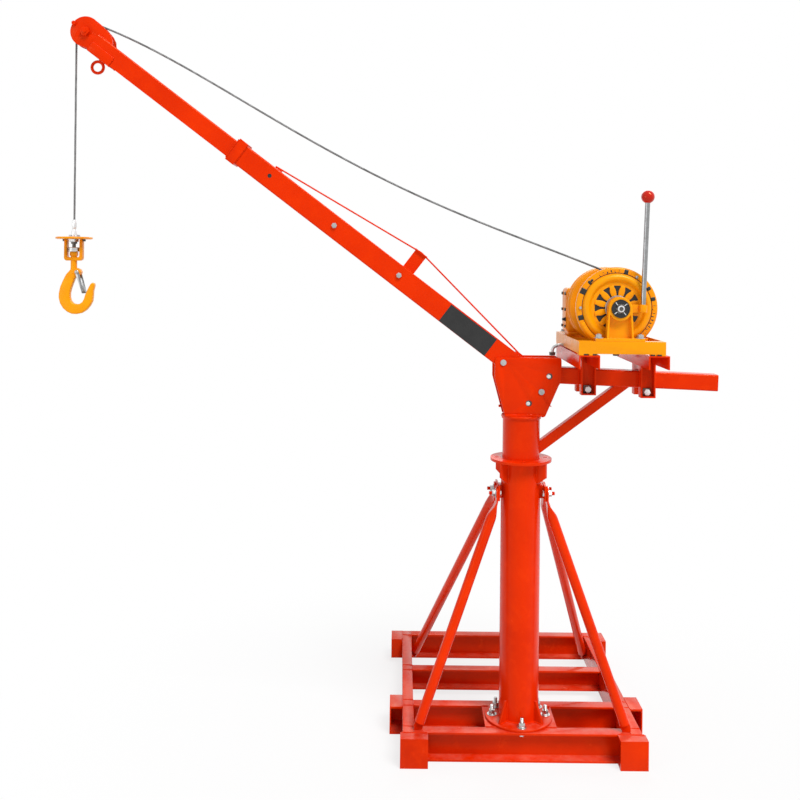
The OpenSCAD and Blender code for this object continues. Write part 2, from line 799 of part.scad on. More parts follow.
// Stay over the boom: a post, a rod over it and a tab at the rear end
module boom_stay() {
  top = boom_top + post_h;
  color(red) on_boom() {
    translate([post_u - post_w / 2, -post_t / 2, boom_top]) cube([post_w, post_t, post_h]);
    translate([post_u - post_w / 2 - 3, -14, top]) cube([post_w + 6, 28, 5]);
    for (end = [[stay_front, 0, boom_top + 5], [-stay_rear, 0, boom_top + 5]])
      along([post_u, 0, top + 4], end)
        cylinder(d = stay_d, h = norm(end - [post_u, 0, top + 4]));
    translate([-stay_rear - 30, -15, boom_top]) cube([50, 30, 9]);
    translate([stay_front - 30, -8, boom_top]) cube([34, 16, 8]);
  }
}

module inner_boom() {
  color(red) on_boom() difference() {
    translate([inner_start, 0, inner_rise]) square_tube(inner_end - inner_start, inner_side, inner_wall);
    for (i = [0 : 1]) translate([hole_first + i * hole_pitch, 0, boom_rise + 4])
      cross_bar(hole_d / 2, 2 * boom_side);
    translate([inner_end - 80, -tip_out - 0.5, inner_rise])
      cube([100, 2 * tip_out + 1, inner_side]);
  }
}

// Two teardrop plates inside the boom's end, with a spacer behind the sheave
module tip_plates() {
  color(red) on_boom() translate([sheave_u, 0, sheave_v]) difference() {
    union() {
      for (side = [-1, 1]) translate([0, side * (tip_in + tip_t / 2), 0]) rotate([90, 0, 0])
        linear_extrude(tip_t, center = true) union() {
          circle(r = tip_r);
          polygon([
            [0, tip_r], [-52, tip_r - 3], [-92, 53], [-114, 42], [-125, 29], [-128, 16],
            [-126, -sheave_up - inner_half + inner_wall + seat_gap],
            [1 - sheave_out, -sheave_up - inner_half + inner_wall + seat_gap], [-15, -tip_r + 2]
          ]);
        }
      translate([-112, 0, -4]) cross_bar(8, tip_gap + 1);
      translate([tip_r - 6, 0, 0]) cross_bar(5, tip_gap + 1);
    }
    cross_bar(axle_r + pin_fit, 3 * tip_gap);
  }
}

// Channel-shaped doubler round the lower half of the inner boom's end
module tip_pad() {
  t = 4;
  color(red) on_boom() translate([inner_end - 116, 0, inner_rise]) difference() {
    translate([0, -inner_half - t, -inner_half - t]) cube([116, inner_side + 2 * t, inner_half + t]);
    translate([-1, -inner_half, -inner_half]) cube([120, inner_side, inner_side]);
  }
}

eye_u = inner_end - 68;
eye_v = inner_rise - inner_half - 35.3;

module lifting_eye() {
  color(red) on_boom() {
    translate([eye_u, 0, eye_v]) rotate([90, 0, 0]) rotate_extrude() translate([24.5, 0]) circle(r = 6.5);
    translate([eye_u, 0, eye_v + 24]) cylinder(r = 12, h = inner_rise - inner_half - 4 - eye_v - 24);
  }
}

module sheave_axle() {
  color(red) on_boom() translate([sheave_u, 0, sheave_v]) {
    cross_bar(axle_r, 2 * tip_out + 2);
    translate([0, -tip_out, 0]) hex_y(21, 15);
    translate([0, tip_out + 15, 0]) hex_y(21, 15);
    translate([tip_r - 5, -tip_out, -1]) hex_y(10, 9);
  }
}

module sheave() {
  color(steel) translate([sheave_x, 0, sheave_z]) rotate([90, 0, 0]) difference() {
    translate([0, 0, -sheave_w / 2]) cylinder(r = sheave_r + 6, h = sheave_w);
    rotate_extrude() translate([sheave_r + 4, 0]) {
      circle(r = rope_r + 4.5);
      translate([0, -rope_r - 4.5]) square([20, rope_d + 9]);
    }
    translate([0, 0, -sheave_w]) cylinder(r = axle_r + pin_fit, h = 2 * sheave_w);
  }
}

// Tube of radius r along a list of points, as a mesh with n sides
module swept(path, r, n = 8) {
  m = len(path);
  way = [for (i = [0 : m - 1]) path[min(i + 1, m - 1)] - path[max(i - 1, 0)]];
  ring = [for (i = [0 : m - 1]) let (
      t = way[i] / norm(way[i]),
      s = cross(t, [0, 1, 0]) / norm(cross(t, [0, 1, 0])),
      q = cross(t, s)
    ) for (k = [0 : n - 1]) path[i] + r * (s * cos(360 * k / n) + q * sin(360 * k / n))];
  sides = [for (i = [0 : m - 2], k = [0 : n - 1])
    [i * n + k, i * n + (k + 1) % n, (i + 1) * n + (k + 1) % n, (i + 1) * n + k]];
  polyhedron(ring, concat(sides, [[for (k = [n - 1 : -1 : 0]) k], [for (k = [0 : n - 1]) (m - 1) * n + k]]));
}

rope_meet = 0.42;
rope_steps = 24;
rope_gap = 0.0002;

module rope_front() {
  color(steel) swept([for (i = [0 : rope_steps]) rope_at(rope_meet * i / rope_steps)], rope_r);
}

module rope_rear() {
  color(steel)
    swept([for (i = [0 : rope_steps]) rope_at(rope_meet + rope_gap + (1 - rope_meet - rope_gap) * i / rope_steps)], rope_r);
}

module rope_fall() {
  color(steel) translate([fall_x, 0, ferrule_z]) cylinder(r = rope_r, h = sheave_z - ferrule_z);
}

// Ferrule and socket that end the rope
module rope_socket() {
  color(steel) translate([fall_x, 0, ferrule_z]) {
    translate([0, 0, -ferrule_h]) cylinder(r = 9, h = ferrule_h);
    translate([0, 0, -ferrule_h - socket_h]) cylinder(r1 = 14, r2 = 10, h = socket_h);
  }
}

module hook_disc() {
  color(yellow) translate([fall_x, 0, disc_z]) difference() {
    cylinder(d = disc_d, h = disc_t);
    translate([0, 0, -1]) cylinder(r = 6, h = disc_t + 2);
  }
}

module hook_yoke() {
  w = yoke_w / 2;
  color(yellow) translate([fall_x, 0, yoke_z]) difference() {
    translate([-w, -16, 0]) cube([yoke_w, 32, yoke_h]);
    translate([-w + 12, -17, yoke_bar]) cube([yoke_w - 24, 34, yoke_h]);
    translate([0, 0, -1]) cylinder(r = shank_r + pin_fit, h = yoke_bar + 2);
  }
}

// Forged hook: bowl, back and point, with its turning shank
module hook() {
  color(yellow) {
    translate([bowl_x, hook_t / 2, bowl_z]) rotate([90, 0, 0]) linear_extrude(hook_t) difference() {
      union() {
        circle(r = hook_r);
        polygon([
          [-74, 6], [-62, 60], [-45, 94], [-24, 117], [-24, 122], [0, 122], [5, 118], [20, 110],
          [20, 98], [10, 92], [-8, 82], [-20, 47], [-27, 6]
        ]);
        polygon([[hook_r, 0], [hook_r + 3, 22], [hook_r + 5, 50], [hook_r, 59], [hook_r - 6, 59], [hook_r - 12, 53],
          [hook_r - 33, 16], [hook_r - 40, 0]]);
      }
      circle(r = hook_throat);
      polygon([[-27, 6], [-20, 47], [-8, 82], [2, 92], [30, 88], [62, 53], [42, 16], [hook_throat, 4], [0, -5]]);
    }
    translate([fall_x, 0, bowl_z + 110]) cylinder(r = shank_r, h = yoke_z - bowl_z - 110 + 44);
  }
}

module hook_nut() {
  color(steel) translate([fall_x, 0, yoke_z + yoke_bar + seat_gap]) difference() {
    union() {
      cylinder(r = 17, h = 18, $fn = 6);
      translate([0, 0, 18]) cylinder(r = 24, h = 12);
    }
    translate([0, 0, -1]) cylinder(r = shank_r, h = 40);
  }
}

latch_x = bowl_x + 6;
latch_z = bowl_z + 106;

module hook_latch() {
  color(steel) translate([latch_x, 0, latch_z]) rotate([0, -17, 0]) difference() {
    union() {
      cross_bar(11, hook_t + 8);
      translate([-5, -hook_t / 2 - 4, -98]) cube([10, hook_t + 8, 98]);
    }
    translate([-30, -hook_t / 2 - 1, -60]) cube([60, hook_t + 2, 90]);
  }
}

beam_front();
beam_second();
beam_third();
beam_rear();
rail_left();
rail_right();
column_plate();
corner_feet();
strut_feet();
column();
column_foot();
column_head();
strut_front_left();
strut_front_right();
strut_rear_left();
strut_rear_right();
thrust_bearing();
mast();
mast_cap();
head_cheeks();
head_box();
pivot_bolt();
lock_pin();
tail_beam();
tail_brace();
clamp_near();
clamp_far();
winch_bed();
pedestal_front();
pedestal_rear();
winch_shaft();
gear_housing();
motor();
outer_boom();
boom_collar();
boom_stay();
inner_boom();
tip_plates();
tip_pad();
lifting_eye();
sheave_axle();
sheave();
drum();
drum_face();
lever_arm();
lever_rod();
lever_knob();
rope_front();
rope_rear();
rope_fall();
rope_socket();
hook_disc();
hook_yoke();
hook();
hook_nut();
hook_latch();
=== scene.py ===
"""Looks of a portable mini crane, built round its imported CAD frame. The makers below work in millimetres."""
import json
import math

import bmesh
import bpy
from mathutils import Matrix, Vector


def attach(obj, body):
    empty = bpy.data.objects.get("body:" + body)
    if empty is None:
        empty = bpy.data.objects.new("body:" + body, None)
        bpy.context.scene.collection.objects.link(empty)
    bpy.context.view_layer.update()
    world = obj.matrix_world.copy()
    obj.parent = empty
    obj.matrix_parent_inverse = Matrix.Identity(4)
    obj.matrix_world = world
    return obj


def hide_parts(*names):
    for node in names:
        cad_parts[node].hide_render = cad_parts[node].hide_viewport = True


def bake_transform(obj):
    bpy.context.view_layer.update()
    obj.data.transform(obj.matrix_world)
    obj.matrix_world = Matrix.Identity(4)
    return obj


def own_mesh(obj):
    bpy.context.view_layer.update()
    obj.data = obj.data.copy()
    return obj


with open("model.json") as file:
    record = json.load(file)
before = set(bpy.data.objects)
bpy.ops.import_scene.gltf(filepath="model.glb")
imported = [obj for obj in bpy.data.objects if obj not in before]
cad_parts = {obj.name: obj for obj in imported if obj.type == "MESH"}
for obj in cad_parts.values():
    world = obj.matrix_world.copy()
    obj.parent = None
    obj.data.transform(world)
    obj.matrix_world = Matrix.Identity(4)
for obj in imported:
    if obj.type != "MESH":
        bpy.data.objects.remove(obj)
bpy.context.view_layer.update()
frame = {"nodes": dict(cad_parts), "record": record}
NODES = frame["nodes"]
MM = 0.001
TURN = 2 * math.pi

# Places and angles on the crane, as in the part's source or worked out from it
BOOM_RISE = 37
LOWEST_RISE = 16
HIGHEST_RISE = 57.5
PIVOT = Vector((-85, 0, 1637))
WINCH = Vector((352, 0, 1880))
PEDESTAL_Y = -262
DRUM_Y = -231
HOUSING_Y = -53
BED_TOP = 1750
BED_REAR = 246
SHEAVE_R = 47
ROPE_R = 4.5
FERRULE_Z = 2224
COLUMN_R = 84.15
LOCK_R = 203
CHEEK_Y = 57
CLAMP_NEAR = (272, 1528)
CLAMP_FAR = (522, 1518.4)
LUG_Y = 42
LUG_Z = 1084
CHANNEL_TOP = 120
BOOM_HALF = 47
BOOM_MID = 23
EXTENSION_HALF = 41.5
SHEAVE_WRAP = 21
DRUM_WRAP = 22
WRAP_R = 125
WRAP_Y = -140
ROPE_SPLIT = 0.42
ROPE_SAG, ROPE_SKEW, ROPE_BOW = 62, 49, 85


# ---------------------------------------------------------------- placing

FACING = Matrix.Rotation(math.pi / 2, 4, "X")
UP, DOWN = (0, 0, 1), (0, 0, -1)
FRONT, BACK = Vector((0, -1, 0)), Vector((0, 1, 0))


def polar(r, degrees, z=0.0):
    """Point at that radius and angle about +Z."""
    a = math.radians(degrees)
    return Vector((r * math.cos(a), r * math.sin(a), z))


def compass(r, degrees, y=0.0):
    """Point at that radius and at that angle from +Z towards +X."""
    a = math.radians(degrees)
    return Vector((r * math.sin(a), y, r * math.cos(a)))


def stand(spot, out, turn=0.0):
    """Frame whose +Z points along out, from spot."""
    lean = Vector((0, 0, 1)).rotation_difference(Vector(out).normalized())
    return Matrix.Translation(Vector(spot)) @ lean.to_matrix().to_4x4() @ Matrix.Rotation(turn, 4, "Z")


def boom_frame():
    """Frame with +X up the boom, +Z square to it and +Y as the crane's, from the boom pivot."""
    along = compass(1, BOOM_RISE - 90)
    square = compass(1, BOOM_RISE)
    side = Vector((0, 1, 0))
    turn = Matrix((along, side, square)).transposed().to_4x4()
    return Matrix.Translation(PIVOT) @ turn


BOOM = boom_frame()


def on_boom(u, y, v):
    """Point u up the boom from its pivot, and v square to it."""
    return BOOM @ Vector((u, y, v))


def cheek_hole(rise, out):
    """Where the locking hole for that rise of the boom comes out of a cheek."""
    return PIVOT + compass(LOCK_R, 90 + rise) + out * CHEEK_Y


def front_at(y, turn=0.0):
    """Frame on the winch's shaft with +X as the crane's, +Y up and +Z to the front, then turned about +Z."""
    return Matrix.Translation((WINCH.x, y, WINCH.z)) @ FACING @ Matrix.Rotation(math.radians(turn), 4, "Z")


SHEAVE = on_boom(2267, 0, 31.3)
FALL_X = SHEAVE.x - SHEAVE_R
DISC_Z = FERRULE_Z - 83
YOKE_Z = DISC_Z - 92
BOWL = Vector((FALL_X + 13, 0, YOKE_Z - 155))
LATCH_PIN = BOWL + Vector((6, 0, 106))


# ---------------------------------------------------------------- shapes

def add(whole, shape, place=None):
    """Moves shape into whole, at place, with its faces outwards."""
    if place is not None:
        shape.transform(place)
    shape.normal_update()
    bmesh.ops.recalc_face_normals(shape, faces=shape.faces)
    carrier = bpy.data.meshes.new("carrier")
    shape.to_mesh(carrier)
    shape.free()
    whole.from_mesh(carrier)
    bpy.data.meshes.remove(carrier)


def placed(shape, place=None):
    """The one shape at place, with its faces outwards."""
    whole = bmesh.new()
    add(whole, shape, place)
    return whole


def bevel(shape, edges, size, steps):
    bmesh.ops.bevel(shape, geom=edges, offset=size, affect="EDGES", segments=steps, profile=0.5, material=-1,
                    clamp_overlap=True)


def round_edges(shape, size, steps=2, over=40):
    """Bevels the edges that are sharper than over degrees."""
    sharp = [e for e in shape.edges if e.is_manifold and e.calc_face_angle(0) > math.radians(over)]
    bevel(shape, sharp, size, steps)


def rod(r, length, r_end=None, sides=24, ease=0.0):
    """Round bar along +Z from the origin."""
    shape = bmesh.new()
    bmesh.ops.create_cone(shape, cap_ends=True, segments=sides, radius1=r,
                          radius2=r if r_end is None else r_end, depth=length,
                          matrix=Matrix.Translation((0, 0, length / 2)))
    if ease:
        round_edges(shape, ease)
    return shape


def block(low, high, ease=0.0, steps=2):
    shape = bmesh.new()
    size = [b - a for a, b in zip(low, high)]
    mid = [(a + b) / 2 for a, b in zip(low, high)]
    bmesh.ops.create_cube(shape, size=1, matrix=Matrix.Translation(mid) @ Matrix.Diagonal((*size, 1)))
    if ease:
        round_edges(shape, ease, steps)
    return shape


def turned(profile, sides=64, closed=False):
    """Turns (radius, height) points about Z."""
    shape = bmesh.new()
    dots = [shape.verts.new((r, 0, z)) for r, z in profile]
    lines = [shape.edges.new(pair) for pair in zip(dots, dots[1:] + dots[:1] if closed else dots[1:])]
    bmesh.ops.spin(shape, geom=dots + lines, cent=(0, 0, 0), axis=(0, 0, 1), dvec=(0, 0, 0), angle=TURN,
                   steps=sides, use_merge=True, use_duplicate=False)
    bmesh.ops.remove_doubles(shape, verts=shape.verts, dist=0.001)
    return shape


def sheet_cut(outline, thick, ease=0.0):
    """Plate of that outline in the XY plane, from z = 0 up."""
    shape = bmesh.new()
    face = shape.faces.new([shape.verts.new((x, y, 0)) for x, y in outline])
    top = bmesh.ops.extrude_face_region(shape, geom=[face])["geom"]
    bmesh.ops.translate(shape, verts=[v for v in top if isinstance(v, bmesh.types.BMVert)], vec=(0, 0, thick))
    bmesh.ops.recalc_face_normals(shape, faces=shape.faces)
    if ease:
        round_edges(shape, ease)
    return shape


def tube(points, r, sides=12, ends=True):
    """Round bar of radius r, or of one radius a point, along points."""
    points = [Vector(p) for p in points]
    radii = r if isinstance(r, (list, tuple)) else [r] * len(points)
    shape = bmesh.new()
    last = len(points) - 1
    ways = [(points[min(i + 1, last)] - points[max(i - 1, 0)]).normalized() for i in range(last + 1)]
    bmesh.ops.create_circle(shape, cap_ends=ends, segments=sides, radius=1,
                            matrix=stand(points[0], ways[0]) @ Matrix.Diagonal((radii[0], radii[0], 1, 1)))
    ring = [e for e in shape.edges]
    for i in range(1, len(points)):
        new = bmesh.ops.extrude_edge_only(shape, edges=ring)["geom"]
        ring = [g for g in new if isinstance(g, bmesh.types.BMEdge)]
        ends_on = [g for g in new if isinstance(g, bmesh.types.BMVert)]
        ring = [e for e in ring if all(v in ends_on for v in e.verts)]
        turn = ways[i - 1].rotation_difference(ways[i]).to_matrix().to_4x4()
        grow = radii[i] / radii[i - 1]
        back = Matrix.Translation(-points[i - 1])
        step = Matrix.Translation(points[i]) @ turn @ Matrix.Scale(grow, 4) @ back
        bmesh.ops.transform(shape, matrix=step, verts=ends_on)
    if ends:
        bmesh.ops.contextual_create(shape, geom=ring)
    return shape


def copy_of(node):
    """The CAD node's own mesh in millimetres, merged and with its flat faces whole."""
    shape = bmesh.new()
    shape.from_mesh(NODES[node].data)
    bmesh.ops.scale(shape, vec=(1 / MM,) * 3, verts=shape.verts)
    bmesh.ops.remove_doubles(shape, verts=shape.verts, dist=0.002)
    bmesh.ops.dissolve_limit(shape, angle_limit=math.radians(0.6), verts=shape.verts, edges=shape.edges)
    return shape


# ---------------------------------------------------------------- pieces

def piece(name, shape, finish, body, swap=(), ease=0.0, over=32.0):
    """Makes the finished object: in metres, shaded, with its finish, its body and the nodes it stands for."""
    shape.transform(Matrix.Scale(MM, 4))
    mesh = bpy.data.meshes.new(name)
    shape.to_mesh(mesh)
    shape.free()
    obj = bpy.data.objects.new(name, mesh)
    bpy.context.scene.collection.objects.link(obj)
    mesh.shade_smooth()
    if ease:
        soft = obj.modifiers.new("edges", "BEVEL")
        soft.width = ease * MM
        soft.segments = 2
        soft.limit_method = "ANGLE"
        soft.angle_limit = math.radians(over)
        soft.harden_normals = True
        soft.miter_outer = "MITER_ARC"
    else:
        mesh.set_sharp_from_angle(angle=math.radians(over))
    mesh.materials.append(finish["material"])
    if body:
        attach(obj, body)
    if swap:
        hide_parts(*swap)
    return obj


def turned_piece(name, profile, sides, place, finish, body, closed=True, **more):
    """A piece that is one turned shape at place."""
    piece(name, placed(turned(profile, sides, closed), place), finish, body, **more)


def soften(node, finish, ease=1.5, over=32.0, corner=0.0):
    """The CAD node again with its edges rounded, and its long outer corners by more."""
    shape = copy_of(node)
    if corner:
        long = [e for e in shape.edges if e.is_manifold and e.is_convex and e.calc_length() > 200
                and e.calc_face_angle(0) > 1.2]
        bevel(shape, long, corner, 4)
    body = BODY_OF[node]
    obj = piece(node + "_steel", shape, finish, body, swap=(node,), ease=ease, over=over)
    if corner:
        flats = obj.modifiers.new("flats", "WEIGHTED_NORMAL")
        flats.weight = 100
        flats.keep_sharp = True
    return obj


BODY_OF = {node: body for body, nodes in frame["record"]["behaviour"]["bodies"].items() for node in nodes}


# ---------------------------------------------------------------- finishes

class Nodes:
    """Short hand for building a finish."""

    def __init__(self, name):
        self.material = bpy.data.materials.new(name)
        self.material.use_nodes = True
        self.tree = self.material.node_tree
        self.tree.nodes.clear()
        self.shader = self.node("BsdfPrincipled", {})
        self.out = self.node("OutputMaterial", {"Surface": self.shader.outputs[0]})
        self.place = self.node("TexCoord", {}).outputs["Object"]

    def fill(self, node, values):
        """Sets a node's inputs, each to a number, a colour or another node's output."""
        for socket, value in values.items():
            if isinstance(value, bpy.types.NodeSocket):
                self.tree.links.new(value, node.inputs[socket])
            else:
                node.inputs[socket].default_value = value

    def node(self, kind, values, **ways):
        made = self.tree.nodes.new("ShaderNode" + kind)
        for way, choice in ways.items():
            setattr(made, way, choice)
        self.fill(made, values)
        return made

    def surface(self, slot, values):
        """The finish, with these inputs of its shader."""
        self.fill(self.shader, values)
        return {"material": self.material, "slot": slot}

    def noise(self, scale, detail=3.0, rough=0.55, stretch=None):
        source = self.place
        if stretch:
            source = self.node("Mapping", {"Vector": source, "Scale": stretch}).outputs[0]
        return self.node("TexNoise", {"Vector": source, "Scale": scale, "Detail": detail,
                                      "Roughness": rough}).outputs["Fac"]

    def spread(self, value, low, high, start=0.0, end=1.0, curve="LINEAR"):
        return self.node("MapRange", {"Value": value, "From Min": low, "From Max": high, "To Min": start,
                                      "To Max": end}, interpolation_type=curve).outputs[0]

    def mix(self, share, a, b):
        """Colour between a and b."""
        a, b = ((*c, 1) if isinstance(c, tuple) else c for c in (a, b))
        return self.node("Mix", {"Factor": share, "A": a, "B": b}, data_type="RGBA").outputs["Result"]

    def times(self, a, b):
        return self.node("Math", {0: a, 1: b}, operation="MULTIPLY").outputs[0]

    def facing_up(self):
        normal = self.node("NewGeometry", {}).outputs["Normal"]
        return self.node("SeparateXYZ", {0: normal}).outputs["Z"]

    def bump(self, height, strength, distance, under=None):
        values = {"Height": height, "Strength": strength, "Distance": distance}
        if under is not None:
            values["Normal"] = under
        return self.node("Bump", values).outputs[0]


DUST = (0.62, 0.36, 0.26)


def enamel(name, slot, colour, deep, bright, rough=(0.18, 0.34), waves=0.25, grit=0.0, gloss=0.45,
           shine=(1.0, 0.42, 0.16), scuffs=0.5, film=0.0):
    """Sprayed gloss enamel on worked steel: an uneven, wavy coat with scuffs, and grit or dust if asked."""
    n = Nodes(name)
    broad = n.noise(3.1, 4.0)
    cloud = n.noise(17.0, 5.0, 0.62)
    tint = n.mix(n.spread(broad, 0.35, 0.68), deep, colour)
    tint = n.mix(n.spread(cloud, 0.5, 0.82, 0.0, 0.55), tint, bright)
    scratch = n.noise(34.0, 6.0, 0.7, stretch=(1.0, 5.0, 0.6))
    marks = n.spread(scratch, 0.66, 0.71, 0.0, scuffs)
    tint = n.mix(marks, tint, tuple(c * 0.42 + 0.02 for c in colour))
    if film:
        patches = n.spread(n.noise(7.0, 6.0, 0.7), 0.4, 0.8, 0.0, film)
        settled = n.times(n.spread(n.facing_up(), 0.75, 1.0), patches)
        tint = n.mix(settled, tint, DUST)
    peel = n.bump(n.noise(330.0, 2.0), grit, 0.0006) if grit else None
    return n.surface(slot, {"Base Color": tint, "Roughness": n.spread(cloud, 0.3, 0.75, *rough),
                            "Specular IOR Level": gloss, "Specular Tint": (*shine, 1),
                            "Normal": n.bump(n.noise(13.0, 2.0), waves, 0.0022, peel)})


def bright_metal(name, slot, colour, deep, rough=(0.22, 0.42), grain=180.0, lift=0.12, stretch=None):
    """Bare or zinc-plated steel with a cloudy, faintly brushed surface."""
    n = Nodes(name)
    cloud = n.noise(42.0, 5.0, 0.65)
    fine = n.noise(grain, 4.0, 0.6, stretch=stretch)
    return n.surface(slot, {"Base Color": n.mix(n.spread(cloud, 0.35, 0.7), deep, colour), "Metallic": 1.0,
                            "Roughness": n.spread(fine, 0.3, 0.7, *rough),
                            "Normal": n.bump(fine, lift, 0.0004)})


def dull_coat(name, slot, colour, deep, rough=0.55, grain=260.0, lift=0.2, metallic=0.0):
    """Plain painted, moulded or oily dark surface."""
    n = Nodes(name)
    cloud = n.noise(30.0, 4.0, 0.6)
    return n.surface(slot, {"Base Color": n.mix(n.spread(cloud, 0.35, 0.7), deep, colour),
                            "Roughness": n.spread(cloud, 0.3, 0.8, rough - 0.1, rough + 0.12),
                            "Metallic": metallic,
                            "Normal": n.bump(n.noise(grain, 3.0), lift, 0.0005)})


AMBER_SHINE = (1.0, 0.72, 0.30)
RED = enamel("orange_red_enamel", "red_paint", (0.79, 0.028, 0.0003), (0.68, 0.020, 0.0002),
             (0.85, 0.040, 0.0005), gloss=0.3, scuffs=0.25, rough=(0.16, 0.28))
# Same paint as RED, given darker colours as painted shade for the base's low channels and recesses, with dust
# on its top faces
BASE_RED_SHADE_AND_DUST = enamel("orange_red_enamel_on_base_shaded_and_dusty", "red_paint", (0.72, 0.026, 0.0003), (0.56, 0.016, 0.0002),
                  (0.80, 0.038, 0.0008), gloss=0.3, film=0.32, rough=(0.17, 0.30))
YELLOW = enamel("amber_enamel", "yellow_paint", (0.95, 0.35, 0.0010), (0.86, 0.28, 0.0008),
                (0.98, 0.39, 0.002), rough=(0.24, 0.40), waves=0.3, scuffs=0.4, shine=AMBER_SHINE)
CAST = enamel("amber_enamel_on_casting", "housing_paint", (0.93, 0.32, 0.0010), (0.80, 0.23, 0.0008),
              (0.98, 0.38, 0.003), rough=(0.24, 0.42), waves=0.5, grit=0.15, shine=AMBER_SHINE)
HOOK_PAINT = enamel("amber_enamel_on_forging", "orange_paint", (0.93, 0.36, 0.0010), (0.80, 0.25, 0.0008),
                    (0.97, 0.43, 0.002), rough=(0.2, 0.34), waves=0.3, scuffs=0.12, shine=AMBER_SHINE)
ZINC = bright_metal("zinc_plate", "zinc", (0.66, 0.67, 0.68), (0.42, 0.42, 0.41))
BARE = bright_metal("bare_steel", "steel", (0.50, 0.50, 0.50), (0.28, 0.27, 0.26), rough=(0.28, 0.5))
CHROME_ROD = bright_metal("drawn_rod", "zinc", (0.36, 0.37, 0.38), (0.26, 0.26, 0.26), rough=(0.14, 0.26),
                          grain=90.0, lift=0.05, stretch=(6.0, 6.0, 0.4))
ROPE = dull_coat("wire_rope", "wire_rope", (0.25, 0.25, 0.25), (0.13, 0.13, 0.13), rough=0.5, grain=700.0,
                 metallic=0.35)
ALUMINIUM = bright_metal("pressed_aluminium", "ferrule", (0.80, 0.81, 0.82), (0.66, 0.66, 0.66),
                         rough=(0.3, 0.48))
# Near black: the cable gland's own colour, and painted shade wherever it fills a hole, slot, window, gap or
# recess
DARK = dull_coat("black_and_painted_shade", "motor_grey", (0.012, 0.012, 0.012), (0.006, 0.006, 0.006), rough=0.4)
GREY = dull_coat("grey_casting", "motor_grey", (0.20, 0.20, 0.205), (0.12, 0.12, 0.125), rough=0.5)
DARK_STEEL = dull_coat("oiled_steel", "steel", (0.16, 0.145, 0.13), (0.06, 0.055, 0.05), rough=0.38,
                       metallic=0.8)
BRIGHT_ZINC = dull_coat("fresh_zinc", "zinc", (0.86, 0.86, 0.85), (0.66, 0.66, 0.66), rough=0.34,
                        metallic=0.25)
PIN_ZINC = dull_coat("worn_zinc", "zinc", (0.50, 0.50, 0.49), (0.34, 0.34, 0.34), rough=0.4, metallic=0.3)
STICKER = dull_coat("black_vinyl", "motor_grey", (0.010, 0.010, 0.010), (0.006, 0.006, 0.006), rough=0.34,
                    grain=900.0, lift=0.05)
KNOB = enamel("red_ball", "knob", (0.58, 0.010, 0.010), (0.50, 0.008, 0.008), (0.64, 0.014, 0.014),
              rough=(0.08, 0.14), waves=0.05, grit=0.02, gloss=0.6, scuffs=0.0)


# ---------------------------------------------------------------- small parts

WASHER_THICK = 2.6
SPRING_THICK = 3.2


def washer(r, thick=WASHER_THICK):
    return turned([(0.05, 0), (r - 0.5, 0), (r, 0.5), (r, thick - 0.5), (r - 0.5, thick), (0.05, thick)], 28,
                  closed=True)


def hexagon(across, high):
    """Nut or bolt head with chamfered corners, standing on z = 0."""
    shape = bmesh.new()
    corner = across / math.sqrt(3)
    bmesh.ops.create_cone(shape, cap_ends=True, segments=6, radius1=corner, radius2=corner, depth=high,
                          matrix=Matrix.Translation((0, 0, high / 2)))
    rim = [e for e in shape.edges if all(abs(v.co.z - high) < 0.01 for v in e.verts)]
    bmesh.ops.bevel(shape, geom=rim, offset=across * 0.07, affect="EDGES", segments=2, profile=0.5,
                    material=-1)
    return shape


def thread(r, length, pitch=2.0):
    """Threaded stud with a chamfered end, standing on z = 0."""
    turns = max(2, int(length / pitch))
    wall = []
    for i in range(turns):
        z = length * i / turns
        wall += [(r, z + 0.25 * pitch), (r * 0.87, z + 0.75 * pitch)]
    return turned([(0, 0), (r, 0)] + wall + [(r * 0.8, length), (0, length)], 14)


def bolt(whole, seat, out, across=24, head=None, ring=True, stud=0.0, turn=0.2, spring=False):
    """Washer, nut or head, and the stud end that stands out of it."""
    base = stand(seat, out, turn)
    head = head or across * 0.62
    z = 0.0
    if ring:
        add(whole, washer(across * 0.86), base)
        z += WASHER_THICK
    if spring:
        add(whole, washer(across * 0.6, SPRING_THICK), base @ Matrix.Translation((0, 0, z)))
        z += SPRING_THICK
    add(whole, hexagon(across, head), base @ Matrix.Translation((0, 0, z)))
    if stud:
        add(whole, thread(across / 3.1, stud), base @ Matrix.Translation((0, 0, z + head - 0.5)))


def weld(whole, points, r=3.4, seed=0):
    """Ripple of a hand-laid bead along points."""
    dots, radii = [], []
    for a, b in zip(points, points[1:]):
        a, b = Vector(a), Vector(b)
        count = max(2, int((b - a).length / 6.5))
        for i in range(count):
            t = i / count
            k = len(dots) + seed
            drift = Vector((math.sin(k * 2.3), math.cos(k * 1.7), math.sin(k * 3.1)))
            dots.append(a.lerp(b, t) + drift * r * 0.12)
            radii.append(r * (0.82 + 0.3 * abs(math.sin(k * 1.9)) ** 2))
    dots.append(Vector(points[-1]))
    radii.append(r * 0.8)
    add(whole, tube(dots, radii, 8))


def ring_points(centre, axis, r, count=60):
    base = stand(centre, axis)
    return [base @ polar(r, 360 * i / count) for i in range(count + 1)]


# ---------------------------------------------------------------- column and struts

def column_bolts():
    zinc = bmesh.new()
    for x, y in ((0, -114), (-114, 0), (114, 0), (-91, 70), (91, 70)):
        bolt(zinc, (x, y, 130), UP, 24, stud=20, spring=True, turn=x * 0.01)
        bolt(zinc, (x, y, 108), DOWN, 24, head=12, ring=False)
    piece("foot_bolts", zinc, ZINC, "base")


